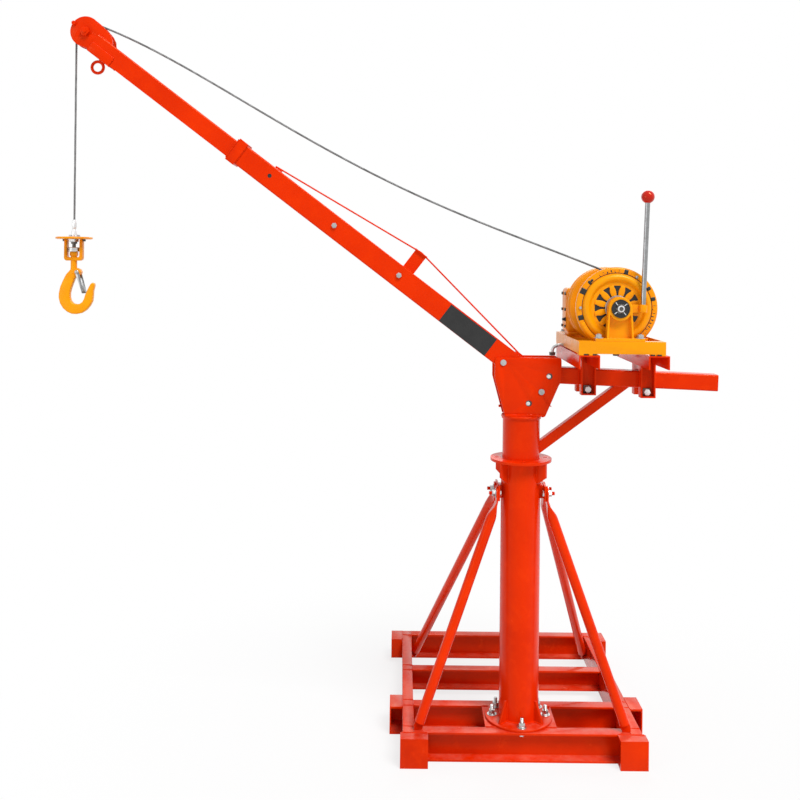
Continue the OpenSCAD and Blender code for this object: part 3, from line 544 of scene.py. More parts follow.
def column_welds():
    """Beads round the column's ends and along both faces of the gussets there."""
    bead = bmesh.new()
    for ring_z, r_ring, turns, z, reach, rise, r in (
            (131, 3.6, (225, 315, 67, 113), 132, 42, 74, 2.8),
            (1214, 3.4, (42, 138, 222, 318), 1213, 40, -80, 2.6)):
        weld(bead, ring_points((0, 0, ring_z), UP, COLUMN_R + 1.5), r_ring)
        for turn in turns:
            out, side = polar(1, turn), polar(1, turn + 90)
            for hand in (-1, 1):
                root = out * (COLUMN_R + 1) + side * hand * 6 + Vector((0, 0, z))
                weld(bead, [root, root + out * reach], r, turn)
                weld(bead, [root, root + Vector((0, 0, rise))], r, turn + 7)
    piece("column_welds", bead, RED, "base")
    bead = bmesh.new()
    weld(bead, ring_points((0, 0, 1399), UP, 80), 3.4)
    for side in (-1, 1):
        weld(bead, [(-76, side * 59, 1414.5), (90, side * 59, 1414.5)], 5.6)
        weld(bead, [(162, side * 36, 1612), (162, side * 36, 1550)], 3.2)
    weld(bead, [(162, -34, 1617.5), (162, 34, 1617.5)], 3.2)
    weld(bead, [(-88, 52, 1434), (-88, 52, 1444)], 5.0)
    piece("mast_welds", bead, RED, "turret")


def base_welds():
    bead = bmesh.new()
    for hand in (-1, 1):
        for y in (-93, 93, 146, 455, 508, 875):
            weld(bead, [(hand * x, y, CHANNEL_TOP + 0.5) for x in (448, 493)], 2.0, y)
        for y in (-120, 120, 482, 902):
            weld(bead, [(hand * 447.5, y + end, CHANNEL_TOP + 0.3) for end in (-22, 22)], 2.2, y)
        for y in (-146.5, -93.5, 92.5, 146.5, 875, 928.5):
            weld(bead, [(hand * 447, y, z) for z in (12, CHANNEL_TOP - 2)], 2.4, y)
        for start in (82, 818):
            weld(bead, [(hand * 495.5, y, CHANNEL_TOP) for y in (start, start + 106)], 2.8)
        weld(bead, [(hand * x, -146.5, CHANNEL_TOP) for x in (392, 500)], 2.8)
    for y in (-92.69, 92.69):
        weld(bead, [(x, y, CHANNEL_TOP + 1) for x in (-148, 148)], 2.2)
    piece("base_welds", bead, BASE_RED_SHADE_AND_DUST, "base")


def struts():
    """Round tubes flattened to an eye at the top."""
    for name, bolt_y, foot in (("front", -LUG_Y, Vector((425, -120, 150))),
                               ("rear", LUG_Y, Vector((425, 800, 72)))):
        eye = Vector((106.45, bolt_y, LUG_Z))
        bend = eye + Vector((0, (foot.y - eye.y) / (eye.z - foot.z), -1)) * 36
        way = (foot - bend).normalized()
        neck = bend + way * 75
        across = Vector((1, 0, 0))
        stations = [(foot.lerp(neck, t), 21.0, 21.0, 2.0, -way) for t in (0, 0.25, 0.5, 0.75, 1)]
        rise = (eye - bend).normalized()
        for i in range(1, 9):
            t = i / 8
            ease = t * t * (3 - 2 * t)
            up = (-way).lerp(rise, ease).normalized()
            stations.append((neck.lerp(bend, t), 21 + 9 * ease, 21 - 17 * ease, 2 + 4 * ease, up))
        stations.append((eye, 30.0, 4.0, 6.0, rise))
        for i in range(1, 8):
            a = math.radians(i * 12.4)
            stations.append((eye + rise * 30 * math.sin(a), 30 * math.cos(a), 4.0, 6.0, rise))
        for hand, side in ((-1, "left"), (1, "right")):
            shape = bmesh.new()
            rings = []
            for spot, wide, deep, square, up in stations:
                broad = up.cross(across).normalized()
                thin = broad.cross(up).normalized()
                ring = []
                for k in range(40):
                    a = TURN * k / 40
                    c, s = math.cos(a), math.sin(a)
                    dot = (spot + broad * wide * math.copysign(abs(c) ** (2 / square), c)
                           + thin * deep * math.copysign(abs(s) ** (2 / square), s))
                    ring.append(shape.verts.new((hand * dot.x, dot.y, dot.z)))
                rings.append(ring)
            for low, high in zip(rings, rings[1:]):
                for k in range(40):
                    shape.faces.new((low[k], low[(k + 1) % 40], high[(k + 1) % 40], high[k]))
            shape.faces.new(rings[0])
            shape.faces.new(rings[-1])
            bmesh.ops.recalc_face_normals(shape, faces=shape.faces)
            node = "strut_" + name + "_" + side
            piece(node + "_tube", shape, RED, "base", swap=(node,), over=38)


def strut_bolts():
    zinc, red = bmesh.new(), bmesh.new()
    for hand in (-1, 1):
        for y in (-LUG_Y, LUG_Y):
            bolt(zinc, (hand * 110.6, y, LUG_Z), (hand, 0, 0), 24, head=13, turn=0.2 * y)
            bolt(zinc, (hand * 94, y, LUG_Z), (-hand, 0, 0), 24, head=7, ring=False)
            add(red, thread(7.8, 14), stand((hand * 125, y, LUG_Z), (hand, 0, 0)))
    piece("strut_bolts", zinc, ZINC, "base")
    piece("strut_bolt_ends", red, RED, "base")
    bead = bmesh.new()
    for hand in (-1, 1):
        for end in (-1, 1):
            weld(bead, [(hand * 84.5, end * 22, 1112), (hand * 84.5, end * 22, 1060)], 3.0, end)
            weld(bead, [(hand * 96, end * 22.5, 1110), (hand * 96, end * 22.5, 1060)], 2.2, end)
    piece("lug_welds", bead, RED, "base")


# ---------------------------------------------------------------- head

def pin_end(inward):
    """Outline of a round pin's end that stands proud of a cheek and reaches inward behind its face."""
    return [(0, -inward), (12.9, -inward), (12.9, 3.2), (12.0, 4.4), (0, 4.6)]


def head_pins():
    steel = bmesh.new()
    add(steel, turned(pin_end(118), 48), stand(PIVOT + FRONT * CHEEK_Y, FRONT))
    add(steel, turned([(0, 0), (17.4, 0), (18, 0.8), (18, 6.6), (16.8, 8), (0, 8)], 48),
        stand(PIVOT + BACK * (CHEEK_Y + 0.3), BACK))
    piece("pivot_bolt_steel", steel, PIN_ZINC, "turret", swap=("pivot_bolt",))
    pin = bmesh.new()
    for out in (FRONT, BACK):
        add(pin, turned(pin_end(7.3), 48), stand(cheek_hole(BOOM_RISE, out), out))
    piece("lock_pin_steel", pin, PIN_ZINC, "turret", swap=("lock_pin",))


def free_holes():
    """Painted shade and a painted highlight in the two locking holes that hold no pin: a dark lining, and a
    bright cup set off centre towards the lower left, where the light falls.
    """
    lit_patch, shade = bmesh.new(), bmesh.new()
    for rise in (LOWEST_RISE, HIGHEST_RISE):
        for out in (FRONT, BACK):
            centre = cheek_hole(rise, out)
            lining = [(0, -5.8), (11.6, -5.8), (12.2, -1.5), (12.9, -1.5), (12.9, -6.8), (0, -6.8)]
            add(shade, turned(lining, 48), stand(centre, out))
            add(lit_patch, turned([(0, -3.4), (5.5, -3.6), (8.6, -4.6), (8.8, -6), (0, -6)], 40),
                stand(centre + Vector((-2.4, 0, -1.2)), out))
    # Bright cup: painted highlight; dark lining: painted shade
    piece("hole_painted_highlights", lit_patch, BRIGHT_ZINC, "turret")
    piece("hole_painted_shade", shade, DARK_STEEL, "turret")


def pin_wire():
    hung = cheek_hole(BOOM_RISE, FRONT)
    way = [hung + Vector(p) for p in ((8, -4, -9), (12, -4.4, -19), (18, -3.6, -33), (26, -2.4, -46),
                                      (36, -1.8, -57), (41, -1.6, -61))]
    piece("pin_wire", placed(tube(way, 2.0, 10)), RED, "turret")


def hooked_bolts():
    hooked, nuts = bmesh.new(), bmesh.new()
    y = 60
    for x in (187, 463):
        bent = [(x + 8, y, 1703), (x - 8, y, 1706), (x - 26, y, 1703), (x - 41, y, 1695), (x - 47, y, 1684),
                (x - 47, y, 1671)]
        add(hooked, tube(bent, 6.8, 14))
        add(nuts, washer(14), stand((x - 47, y, 1671 + WASHER_THICK), DOWN))
        add(nuts, hexagon(23, 11), stand((x - 47, y, 1671), DOWN))
    piece("hooked_bolts", hooked, ZINC, "turret")
    piece("hooked_bolt_nuts", nuts, DARK_STEEL, "turret")


def clamp_bolts():
    through, pads = bmesh.new(), bmesh.new()
    side, thick = 46.6, 4
    for x, z in (CLAMP_NEAR, CLAMP_FAR):
        for out, stud in ((FRONT, 0), (BACK, 9)):
            seat = Vector((x, 0, z)) + out * side
            add(pads, block((-16, -16, 0), (16, 16, thick), ease=0.8), stand(seat, out))
            bolt(through, seat + out * thick, out, 25, head=15, ring=False, stud=stud, turn=x)
    piece("clamp_bolts", through, BRIGHT_ZINC, "turret")
    piece("clamp_washers", pads, DARK_STEEL, "turret")


# ---------------------------------------------------------------- boom

def boom_bolts():
    zinc = bmesh.new()
    for u in (574, 920):
        bolt(zinc, on_boom(u, -BOOM_HALF, BOOM_MID), FRONT, 21, head=9, ring=False, turn=u)
        bolt(zinc, on_boom(u, BOOM_HALF, BOOM_MID), BACK, 23, head=13, stud=9, turn=u)
    piece("boom_bolts", zinc, PIN_ZINC, "boom")
    # A dark disc in each side of the boom's open hole is painted shade for the hole's inside
    dark = bmesh.new()
    for out in (FRONT, BACK):
        add(dark, rod(8.9, 1.2), stand(on_boom(1266, 0, BOOM_MID) + out * 44.6, out))
    piece("boom_hole_shade", dark, DARK, "boom")


def boom_label():
    long, wide = 243, 87.6
    film = sheet_cut([(0, 0), (long, 0), (long, wide), (0, wide)], 0.4)
    place = BOOM @ Matrix.Translation((80, -BOOM_HALF - 0.05, -27)) @ FACING
    piece("side_patch", placed(film, place), STICKER, "boom")


def boom_welds():
    bead = bmesh.new()
    for u, over in ((1415, 1.5), (1461, 7)):
        side = BOOM_HALF + over
        low, high = 19 - side, 19 + side
        corners = [(-side, low + 9), (-side, high - 9), (side, high - 9), (side, low + 9), (-side, low + 9)]
        weld(bead, [on_boom(u, y, v) for y, v in corners], 2.6, u)
    for hand in (-1, 1):
        weld(bead, [on_boom(530, hand * 6, 67), on_boom(582, hand * 6, 67)], 2.4)
        weld(bead, [on_boom(-68, hand * 15.5, 67), on_boom(-22, hand * 15.5, 67)], 2.6)
    piece("boom_welds", bead, RED, "boom")
    bead = bmesh.new()
    for hand in (-1, 1):
        plate, wall = hand * 29, hand * EXTENSION_HALF
        weld(bead, [on_boom(2140, plate, 56.3), on_boom(2208, plate, 56.3)], 3.0)
        weld(bead, [on_boom(2211, plate, 53), on_boom(2211, plate, -18)], 2.6)
        weld(bead, [on_boom(2097, wall, 14.8), on_boom(2207, wall, 14.8)], 2.0)
        for v in (8, -6, -22):
            weld(bead, [on_boom(2093.5, wall, v), on_boom(2093.5, wall, v - 7)], 2.2, v)
    weld(bead, ring_points(on_boom(2142, 0, -28.2), compass(1, BOOM_RISE), 13, 20), 2.6)
    piece("tip_welds", bead, RED, "extension")


def boom_tip():
    steel = bmesh.new()
    plate_y = 28
    add(steel, rod(11.9, 60), stand(SHEAVE + BACK * 30, FRONT))
    for out in (FRONT, BACK):
        bolt(steel, SHEAVE + out * plate_y, out, 36, head=15, ring=False, turn=0.35)
        add(steel, rod(9.5, 4, ease=1), stand(SHEAVE + out * 42.5, out))
        bolt(steel, on_boom(2327, 0, 30.3) + out * plate_y, out, 17, head=9, ring=False, turn=0.1)
    piece("sheave_axle_steel", steel, RED, "extension", swap=("sheave_axle",))
    half = [(12.05, 16), (20, 16), (22, 13), (30, 8), (45, 10.5), (49.5, 15), (53, 15.5), (53, 11.5),
            (47.6, 8.4), (43.8, 5.2), (42.4, 2.2)]
    turned_piece("sheave_wheel_steel", [(r, -z) for r, z in half] + half[::-1], 72, stand(SHEAVE, FRONT),
                 BARE, "sheave_wheel", swap=("sheave",))


# ---------------------------------------------------------------- rope

def laid(points, r=ROPE_R, lay=52.0, step=6.5, strands=6):
    """Stranded wire rope along points."""
    run = [0.0]
    for a, b in zip(points, points[1:]):
        run.append(run[-1] + (b - a).length)
    count = int(run[-1] / step)
    spots, k = [], 0
    for i in range(count + 1):
        s = run[-1] * i / count
        while k < len(points) - 2 and run[k + 1] < s:
            k += 1
        spot = points[k].lerp(points[k + 1], (s - run[k]) / (run[k + 1] - run[k]))
        before = (points[k + 1] - points[k]).normalized()
        spots.append((s, spot, before))
    lines = bpy.data.curves.new("lay", "CURVE")
    lines.dimensions = "3D"
    lines.bevel_depth = r * 0.35
    lines.bevel_resolution = 1
    lines.use_fill_caps = True
    for n in range(strands + 1):
        line = lines.splines.new("POLY")
        line.points.add(count)
        off = r * 0.65 if n < strands else 0.0
        for (s, spot, way), dot in zip(spots, line.points):
            side = way.cross(Vector((0, 1, 0))).normalized()
            angle = TURN * (s / lay + n / strands)
            dot.co = (*(spot + (side * math.cos(angle) + way.cross(side) * math.sin(angle)) * off), 1)
    carrier = bpy.data.objects.new("lay", lines)
    mesh = bpy.data.meshes.new_from_object(carrier)
    shape = bmesh.new()
    shape.from_mesh(mesh)
    bpy.data.objects.remove(carrier)
    bpy.data.meshes.remove(mesh)
    return shape


def rope_way(t):
    """Point at share t of the slack rope from the sheave to the drum."""
    a = SHEAVE + compass(SHEAVE_R, SHEAVE_WRAP)
    b = WINCH + compass(WRAP_R, DRUM_WRAP, WRAP_Y)
    dip = ROPE_SAG - (1 - 2 * t) * (ROPE_SKEW + ROPE_BOW * (1 - 2 * t))
    return a.lerp(b, t) - Vector((0, 0, 4 * t * (1 - t) * dip))


def rope_run(start, end, count=24):
    return [rope_way(start + (end - start) * i / count) for i in range(count + 1)]


def ropes():
    over = [SHEAVE + compass(SHEAVE_R, turn) for turn in range(-90, SHEAVE_WRAP, 5)]
    front = piece("front_rope", laid(over + rope_run(0, ROPE_SPLIT)), ROPE, None, swap=("rope_front",))
    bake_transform(front)
    onward = ROPE_SPLIT + 0.0002
    rear = piece("rear_rope", laid(rope_run(onward, 1)), ROPE, None, swap=("rope_rear",))
    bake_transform(rear)
    plumb = [Vector((FALL_X, 0, z)) for z in (SHEAVE.z, FERRULE_Z - 2)]
    fall = piece("hanging_rope", laid(plumb), ROPE, "fall", swap=("rope_fall",))
    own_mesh(fall)
    coils, lay = 7, 9.3
    turns = [WINCH + compass(WRAP_R, DRUM_WRAP + 10 * i, WRAP_Y - lay * i / 36)
             for i in range(coils * 36 + 1)]
    piece("wound_rope", laid(turns, step=9.0), ROPE, "drum_turn")


# ---------------------------------------------------------------- hook block

def hook_block():
    turned_piece("rope_ferrule", [
        (0, 0.5), (6, 0.5), (8.6, -1), (9.6, -4), (9.8, -34), (8.8, -37), (6.5, -38), (6.5, -41), (9.6, -42),
        (10.2, -44), (13.6, -71), (13.0, -73), (0, -73)], 40, Matrix.Translation((FALL_X, 0, FERRULE_Z)),
        ALUMINIUM, "hook_block", closed=False, swap=("rope_socket",))
    turned_piece("guard_disc", [
        (6, 0.4), (70, 0), (75.5, 1.5), (76.8, 5), (75.5, 8.5), (70, 9.6), (20, 10), (6, 10)], 72,
        Matrix.Translation((FALL_X, 0, DISC_Z)), HOOK_PAINT, "hook_block", swap=("hook_disc",))
    small = bmesh.new()
    for x, y in ((-15, 10), (16, 9), (-13, -12), (14, -13)):
        bolt(small, (FALL_X + x, y, DISC_Z + 10), UP, 11, head=6, turn=x)
    piece("disc_screws", small, ZINC, "hook_block")
    dark = bmesh.new()
    for hand in (-1, 1):
        add(dark, hexagon(17, 9), stand((FALL_X + hand * 40, 0, DISC_Z), DOWN))
    add(dark, hexagon(24, 9), stand((FALL_X, 0, DISC_Z - 11), DOWN, 0.3))
    add(dark, rod(7.5, 26), stand((FALL_X, 0, DISC_Z - 16), DOWN))
    piece("swivel_stem", dark, DARK_STEEL, "hook_block")
    piece("swivel_nut", placed(hexagon(35, 12), stand((FALL_X, 0, DISC_Z), DOWN, 0.1)), ZINC, "hook_block")

    half, wall, r_out, r_in, floor, top = 39.0, 12.5, 13, 7, 15, 91.5
    bends = [polar(1, 15 * step - 90) for step in range(7)]
    outer = [(half - r_out + r_out * a.x, r_out + r_out * a.y) for a in bends]
    inner = [(half - wall - r_in + r_in * a.x, floor + r_in + r_in * a.y) for a in bends]
    right = outer + [(half, top), (half - wall, top)] + inner[::-1]
    arch = sheet_cut(right + [(-x, z) for x, z in right[::-1]], 30, ease=3.2)
    piece("hook_yoke_forging", placed(arch, Matrix.Translation((FALL_X, 15, YOKE_Z)) @ FACING), HOOK_PAINT,
          "hook_block", swap=("hook_yoke",), over=28)

    piece("hook_nut_steel", placed(hexagon(31, 17), Matrix.Translation((FALL_X, 0, YOKE_Z + 21))), HOOK_PAINT,
          "hook_turn", swap=("hook_nut",))
    turned_piece("swivel_bearing", [
        (0, 39), (23, 39), (24.6, 41), (24.6, 47.5), (23.6, 48), (23.6, 50), (24.6, 50.5), (24.6, 55),
        (23, 57), (0, 57)], 48, Matrix.Translation((FALL_X, 0, YOKE_Z)), ZINC, "hook_turn", closed=False)


HOOK_EDGE = [
    (-25, 117), (-43, 97), (-56, 71), (-67.5, 44), (-73.5, 15), (-73.7, -4.5), (-67.8, -27.6), (-54.6, -49),
    (-36.5, -64.5), (-16.8, -72.7), (3, -73.7), (26, -68.8), (45.7, -55.6), (60.5, -37.5), (70.4, -17.8),
    (72.7, 5.3), (74, 28), (78.5, 46.4), (79, 54), (75.5, 60), (69.4, 61.5), (63, 57.3), (55.6, 44.7),
    (46, 25), (39, 8.5), (34.2, -8), (27.6, -21), (16, -29.5), (1.3, -31), (-11.8, -27), (-21.7, -16),
    (-26, -1.3), (-26, 15), (-22.7, 31.6), (-15, 54.6), (-7, 76), (-0.5, 86), (8, 92), (18, 99),
    (21.5, 108), (17, 118), (5, 124), (-8, 126)]


def hook_forging():
    """Forged hook: a flat-sided bowl with heavily rounded edges, its neck and the bosses for the latch."""
    body = sheet_cut(HOOK_EDGE, 29)
    rims = [e for e in body.edges if abs(e.verts[0].co.z - e.verts[1].co.z) < 0.01]
    bevel(body, rims, 9.5, 5)
    whole = bmesh.new()
    add(whole, body, Matrix.Translation((BOWL.x, 14.5, BOWL.z)) @ FACING)
    neck = [(0, 100), (15.5, 100), (15.0, 112), (13.6, 120), (13.4, 128), (13.4, 196), (12.6, 198), (0, 198)]
    add(whole, turned(neck, 40), Matrix.Translation((FALL_X, 0, BOWL.z)))
    for out in (FRONT, BACK):
        add(whole, rod(14.5, 4, 13.2, sides=36, ease=1.2), stand(LATCH_PIN + out * 13.5, out))
    piece("hook_forging", whole, HOOK_PAINT, "hook_turn", swap=("hook",), over=44)


def hook_latch():
    place = Matrix.Translation(LATCH_PIN) @ Matrix.Rotation(math.radians(-17), 4, "Y")
    plate = bmesh.new()
    thick = 2.2
    cheek = [(-7.5, 4), (-5, 8.5), (0, 10), (5, 8.5), (7.5, 4), (7.8, -20), (6.2, -60), (5.2, -88), (3, -93),
             (-3, -93), (-5, -88), (-5.6, -60), (-7.4, -20)]
    for y in (-16, 16 + thick):
        add(plate, sheet_cut(cheek, thick, ease=0.6), place @ Matrix.Translation((0, y, 0)) @ FACING)
    add(plate, block((3.4, -16.6, -90), (5.6, 16.6, -30), ease=0.7), place)
    piece("latch_plate", plate, CHROME_ROD, "latch", swap=("hook_latch",))
    pin = bmesh.new()
    for out in (FRONT, BACK):
        add(pin, turned([(0, 0), (8.5, 0), (9, 1), (8.6, 4.6), (6.4, 6.6), (0, 7.2)], 28),
            stand(LATCH_PIN + out * 18, out))
    piece("latch_pin", pin, BARE, "latch")
    stop = placed(rod(5.4, 37, ease=1), place @ Matrix.Translation((0, 18.5, -89)) @ FACING)
    piece("latch_roller", stop, DARK_STEEL, "latch")


# ---------------------------------------------------------------- winch

def arc_plate(r_in, r_out, start, end, thick, ease, steps):
    outline = [polar(r, a + (b - a) * i / steps).xy
               for r, a, b in ((r_out, start, end), (r_in, end, start)) for i in range(steps + 1)]
    return sheet_cut(outline, thick, ease)


def drum_casting():
    turned_piece("drum_casting", [
        (30, -160), (104, -160), (104, -6), (107, 0), (139.6, 0), (140.2, -4), (142.6, -4), (143.2, 1.2),
        (156, 1.2), (161, -0.6), (165, -5), (165, -18), (161.5, -23), (156, -24), (126, -24), (120, -29),
        (120, -155), (126, -160), (155, -160), (160, -163), (161.5, -167), (159, -172), (150, -173),
        (30, -173)], 120, front_at(DRUM_Y), CAST, "drum_turn", swap=("drum",), over=38)
    face = bmesh.new()
    add(face, turned([(91, 0), (91, 3), (105, 3), (107, 4.6), (110, 9), (115, 13.2), (122, 15.4), (129, 13.8),
                      (135, 9), (138.5, 3.4), (139.5, 0)], 120, closed=True), front_at(DRUM_Y))
    half = [(8.6, 45), (11.2, 56), (12.3, 66), (11.9, 74), (10.6, 80), (9.0, 85), (9.8, 88), (8.8, 92.5)]
    petal = [(-x, y) for x, y in half] + [(0, 93.5)] + half[::-1]
    for n in range(12):
        add(face, sheet_cut(petal, 8, ease=2.2), front_at(DRUM_Y, 15 + 30 * n))
    piece("drum_petals", face, YELLOW, "drum_turn", swap=("drum_face",), over=38)
    # Dark ring behind the petals: painted shade in the slots between them
    turned_piece("drum_slot_shade", [(20, 0.2), (99, 0.2), (99, 1.6), (20, 1.6)], 72, front_at(DRUM_Y), DARK,
                 "drum_turn")
    turned_piece("drum_hub_plate", [(22, 8), (49.5, 8), (51, 9.5), (51, 17), (49.5, 18.5), (22, 18.5)], 72,
                 front_at(DRUM_Y), BARE, "drum_turn")
    # Dark rings in the grooves at the bulge's edges: painted shade of the creases
    crease_shade = bmesh.new()
    for r in (104.8, 141.4):
        groove = [(r - 0.6, -4.2), (r + 0.6, -4.2), (r + 0.6, -2.4), (r - 0.6, -2.4)]
        add(crease_shade, turned(groove, 96, closed=True), front_at(DRUM_Y))
    piece("rim_crease_shade", crease_shade, DARK_STEEL, "drum_turn")


def on_rim(turn, r=149):
    return front_at(DRUM_Y, turn) @ Matrix.Translation((r, 0, 0))


def rim_details():
    """Dark pads as painted shade in the windows, plain bars in place of cast lettering with dark strips beside
    them as their painted shadow, and screws.
    """
    # Black pads: painted shade in the windows
    holes = bmesh.new()
    for turn, long, wide in ((154, 28, 26), (137.5, 15, 19), (133, 17, 13), (76, 20, 22), (32, 18, 19),
                             (14.5, 19, 20), (195.5, 24, 23)):
        add(holes, block((-wide / 2, -long / 2, -8), (wide / 2, long / 2, 2.8), ease=6.4, steps=5),
            on_rim(turn, 150))
    piece("rim_window_shade", holes, DARK, "drum_turn", over=50)
    trim = bmesh.new()
    add(trim, arc_plate(142, 158, 203, 233, 6.0, 1.4, 14), front_at(DRUM_Y))
    for start, end, count, top in ((85, 120, 7, 2.6), (-44, 6, 10, 2.6), (206, 229, 5, 7.2)):
        for i in range(count):
            add(trim, block((-4.6, -2.2, 0), (4.6, 2.2, top), ease=0.9),
                on_rim(start + (end - start) * (i + 0.5) / count))
    piece("rim_bars", trim, YELLOW, "drum_turn")
    # Dark strips beside the bars: painted shadow of the raised bars
    bar_shadows = bmesh.new()
    for start, end, count in ((87, 118, 6), (-41, 4, 9)):
        for i in range(count):
            add(bar_shadows, block((-4.8, -2.3, 0), (4.8, 2.3, 1.7), ease=0.8),
                on_rim(start + (end - start) * i / (count - 1), 149 + 1.6 * (-1) ** i))
    piece("rim_bar_shadows", bar_shadows, DARK, "drum_turn")
    screws = bmesh.new()
    for turn in (58, 180):
        bolt(screws, front_at(DRUM_Y) @ polar(148, turn, 1), FRONT, 11, head=6, ring=False)
    piece("rim_screws", screws, BARE, "drum_turn")


def shaft_end():
    """A dark ring as painted shade in each pedestal's bearing recess, lock tabs there, and the shaft's collar,
    nut and threaded end.
    """
    for y, out, name in ((PEDESTAL_Y - 36, -1, "front"), (BED_REAR, 1, "rear")):
        place = stand((WINCH.x, y, WINCH.z), (0, out, 0))
        turned_piece(name + "_bearing_recess_shade", [
            (20.2, 0), (35, 0), (36.4, 0.6), (36.4, 2.4), (34.0, 2.4), (33, 0.8), (20.2, 0.8)], 60, place,
            DARK, "turret")
        ring = bmesh.new()
        for n in range(4):
            add(ring, block((17, -1.5, 0.8), (32.4, 1.5, 3.0), ease=0.5),
                place @ Matrix.Rotation(math.radians(40 + 90 * n), 4, "Z"))
        piece(name + "_lock_tabs", ring, ALUMINIUM, "turret")
        turned_piece(name + "_shaft_collar", [
            (9, 0.5), (17.6, 0.5), (18.4, 1.6), (18.4, 4.4), (17.2, 5.6), (9, 5.6)], 40, place, DARK_STEEL,
            "turret")
        nut = turned([(8, 5), (12.6, 5), (13.6, 6), (13.6, 9.6), (12.2, 11.2), (8, 11.2)], 40, closed=True)
        piece(name + "_shaft_nut", placed(nut, place), BRIGHT_ZINC, "turret")
        end = placed(thread(8.2, 9.4), place @ Matrix.Translation((0, 0, 5)))
        piece(name + "_shaft_thread", end, DARK_STEEL, "turret")


def pedestal_bolts():
    zinc = bmesh.new()
    for y in (PEDESTAL_Y - 19, BED_REAR - 19):
        for x in (-83, 83):
            bolt(zinc, (WINCH.x + x, y, BED_TOP + 12), UP, 22, head=12, stud=2.5, turn=x)
    for x in (222, 250, 496, 524):
        bolt(zinc, (x, 262, BED_TOP), UP, 17, head=9)
    piece("pedestal_bolts", zinc, PIN_ZINC, "turret")
    # Dark blocks on the bed's front: painted shade in the gap openings there
    gap_shade = bmesh.new()
    for x in (214, 250, 482, 508):
        add(gap_shade, block((x - 8, -300.9, 1694.4), (x + 8, -296, 1699.8), ease=0.8))
    piece("bed_gap_shade", gap_shade, DARK, "turret")


def gear_case():
    case = bmesh.new()
    add(case, turned([(30, 0), (148, 0), (157, -2), (163, -6), (165, -11), (165, -19), (161, -23), (160, -45),
                      (164, -49), (165, -54), (163, -60), (156, -64), (120, -72), (30, -72)], 120,
                     closed=True), front_at(HOUSING_Y))
    add(case, block((-159, -117, -181.5), (159, 73, -70), ease=15, steps=5), front_at(HOUSING_Y))
    add(case, block((-150, -129.8, -170), (150, -112, -80), ease=2.5), front_at(HOUSING_Y))
    for n in range(10):
        add(case, block((-5, 158.5, -44), (5, 163.1, -24), ease=1.6), front_at(HOUSING_Y, 36 * n))
    piece("gear_case", case, CAST, "turret", swap=("gear_housing",), over=34)
    cover = bmesh.new()
    for hand in (-1, 1):
        low, high = sorted((hand * 158.4, hand * 159.9))
        add(cover, block((low, -104, -172), (high, 60, -80), ease=0.6), front_at(HOUSING_Y))
    piece("case_covers", cover, CAST, "turret")
    screws = bmesh.new()
    for hand in (-1, 1):
        for up in (-92, -20, 49):
            for back in (-90, -162):
                bolt(screws, front_at(HOUSING_Y) @ Vector((hand * 159.9, up, back)), (hand, 0, 0), 12, head=6,
                     ring=False, turn=up)
    for n in range(10):
        bolt(screws, front_at(HOUSING_Y) @ polar(141, 18 + 36 * n), FRONT, 12, head=3.4, ring=False)
    piece("case_screws", screws, DARK_STEEL, "turret")
    piece("bed_cross_bar", block((192.5, -56, 1702), (527.5, -52, 1746), ease=0.8), YELLOW, "turret")
    gland = bmesh.new()
    add(gland, hexagon(17, 6), stand((WINCH.x - 159, 36, WINCH.z - 62), (-1, 0, 0)))
    add(gland, rod(7, 10, 5.4, ease=1), stand((WINCH.x - 165, 36, WINCH.z - 62), (-1, 0, 0)))
    piece("cable_gland", gland, DARK, "turret")


def motor_case():
    back = HOUSING_Y + 182
    case = bmesh.new()
    add(case, turned([(20, 0), (102, 0), (104.5, -2), (104.5, -9), (102, -11), (92, -12), (92, -51),
                      (99, -53), (104, -56), (104, -64), (98, -71.5), (20, -71.5)], 96, closed=True),
        front_at(back))
    for n in range(30):
        add(case, block((-1.7, 90, -51), (1.7, 103.5, -12), ease=0.8), front_at(back, 12 * n))
    piece("motor_case", case, CAST, "turret", swap=("motor",), over=34)
    # Dark strips on the motor's end: painted shade in its vent slots
    vent_shade = bmesh.new()
    for n in range(16):
        add(vent_shade, block((-2.4, 40, -72), (2.4, 88, -70.9), ease=0.3), front_at(back, 22.5 * n))
    piece("motor_vent_shade", vent_shade, DARK, "turret")


def lever():
    lean = Matrix.Rotation(math.radians(2), 4, "Y")
    place = Matrix.Translation((WINCH.x + 96, PEDESTAL_Y - 5, WINCH.z)) @ lean
    turned_piece("lever_bar", [(0, -7), (9.9, -7), (9.9, 436), (8.6, 438), (0, 438)], 40, place, CHROME_ROD,
                 "lever", closed=False, swap=("lever_rod",))
    arc = [polar(26.5, 90 - 7 * step) for step in range(1, 22)]
    ball = [(0, 474.5)] + [(a.x, 448 + a.y) for a in arc] + [(12.0, 424.2), (10.6, 423.4), (0, 423.4)]
    turned_piece("lever_ball", ball, 56, place, KNOB, "lever", closed=False, swap=("lever_knob",))
    socket = bmesh.new()
    add(socket, turned([(10.2, -14), (16, -14), (17, -12.6), (17, 12.4), (15.6, 14), (10.2, 14)], 44,
                       closed=True), place)
    add(socket, turned([(10.2, 13.5), (13, 13.5), (12.2, 16), (10.2, 16.6)], 44, closed=True), place)
    piece("lever_socket", socket, YELLOW, "lever")


# ---------------------------------------------------------------- base frame and column

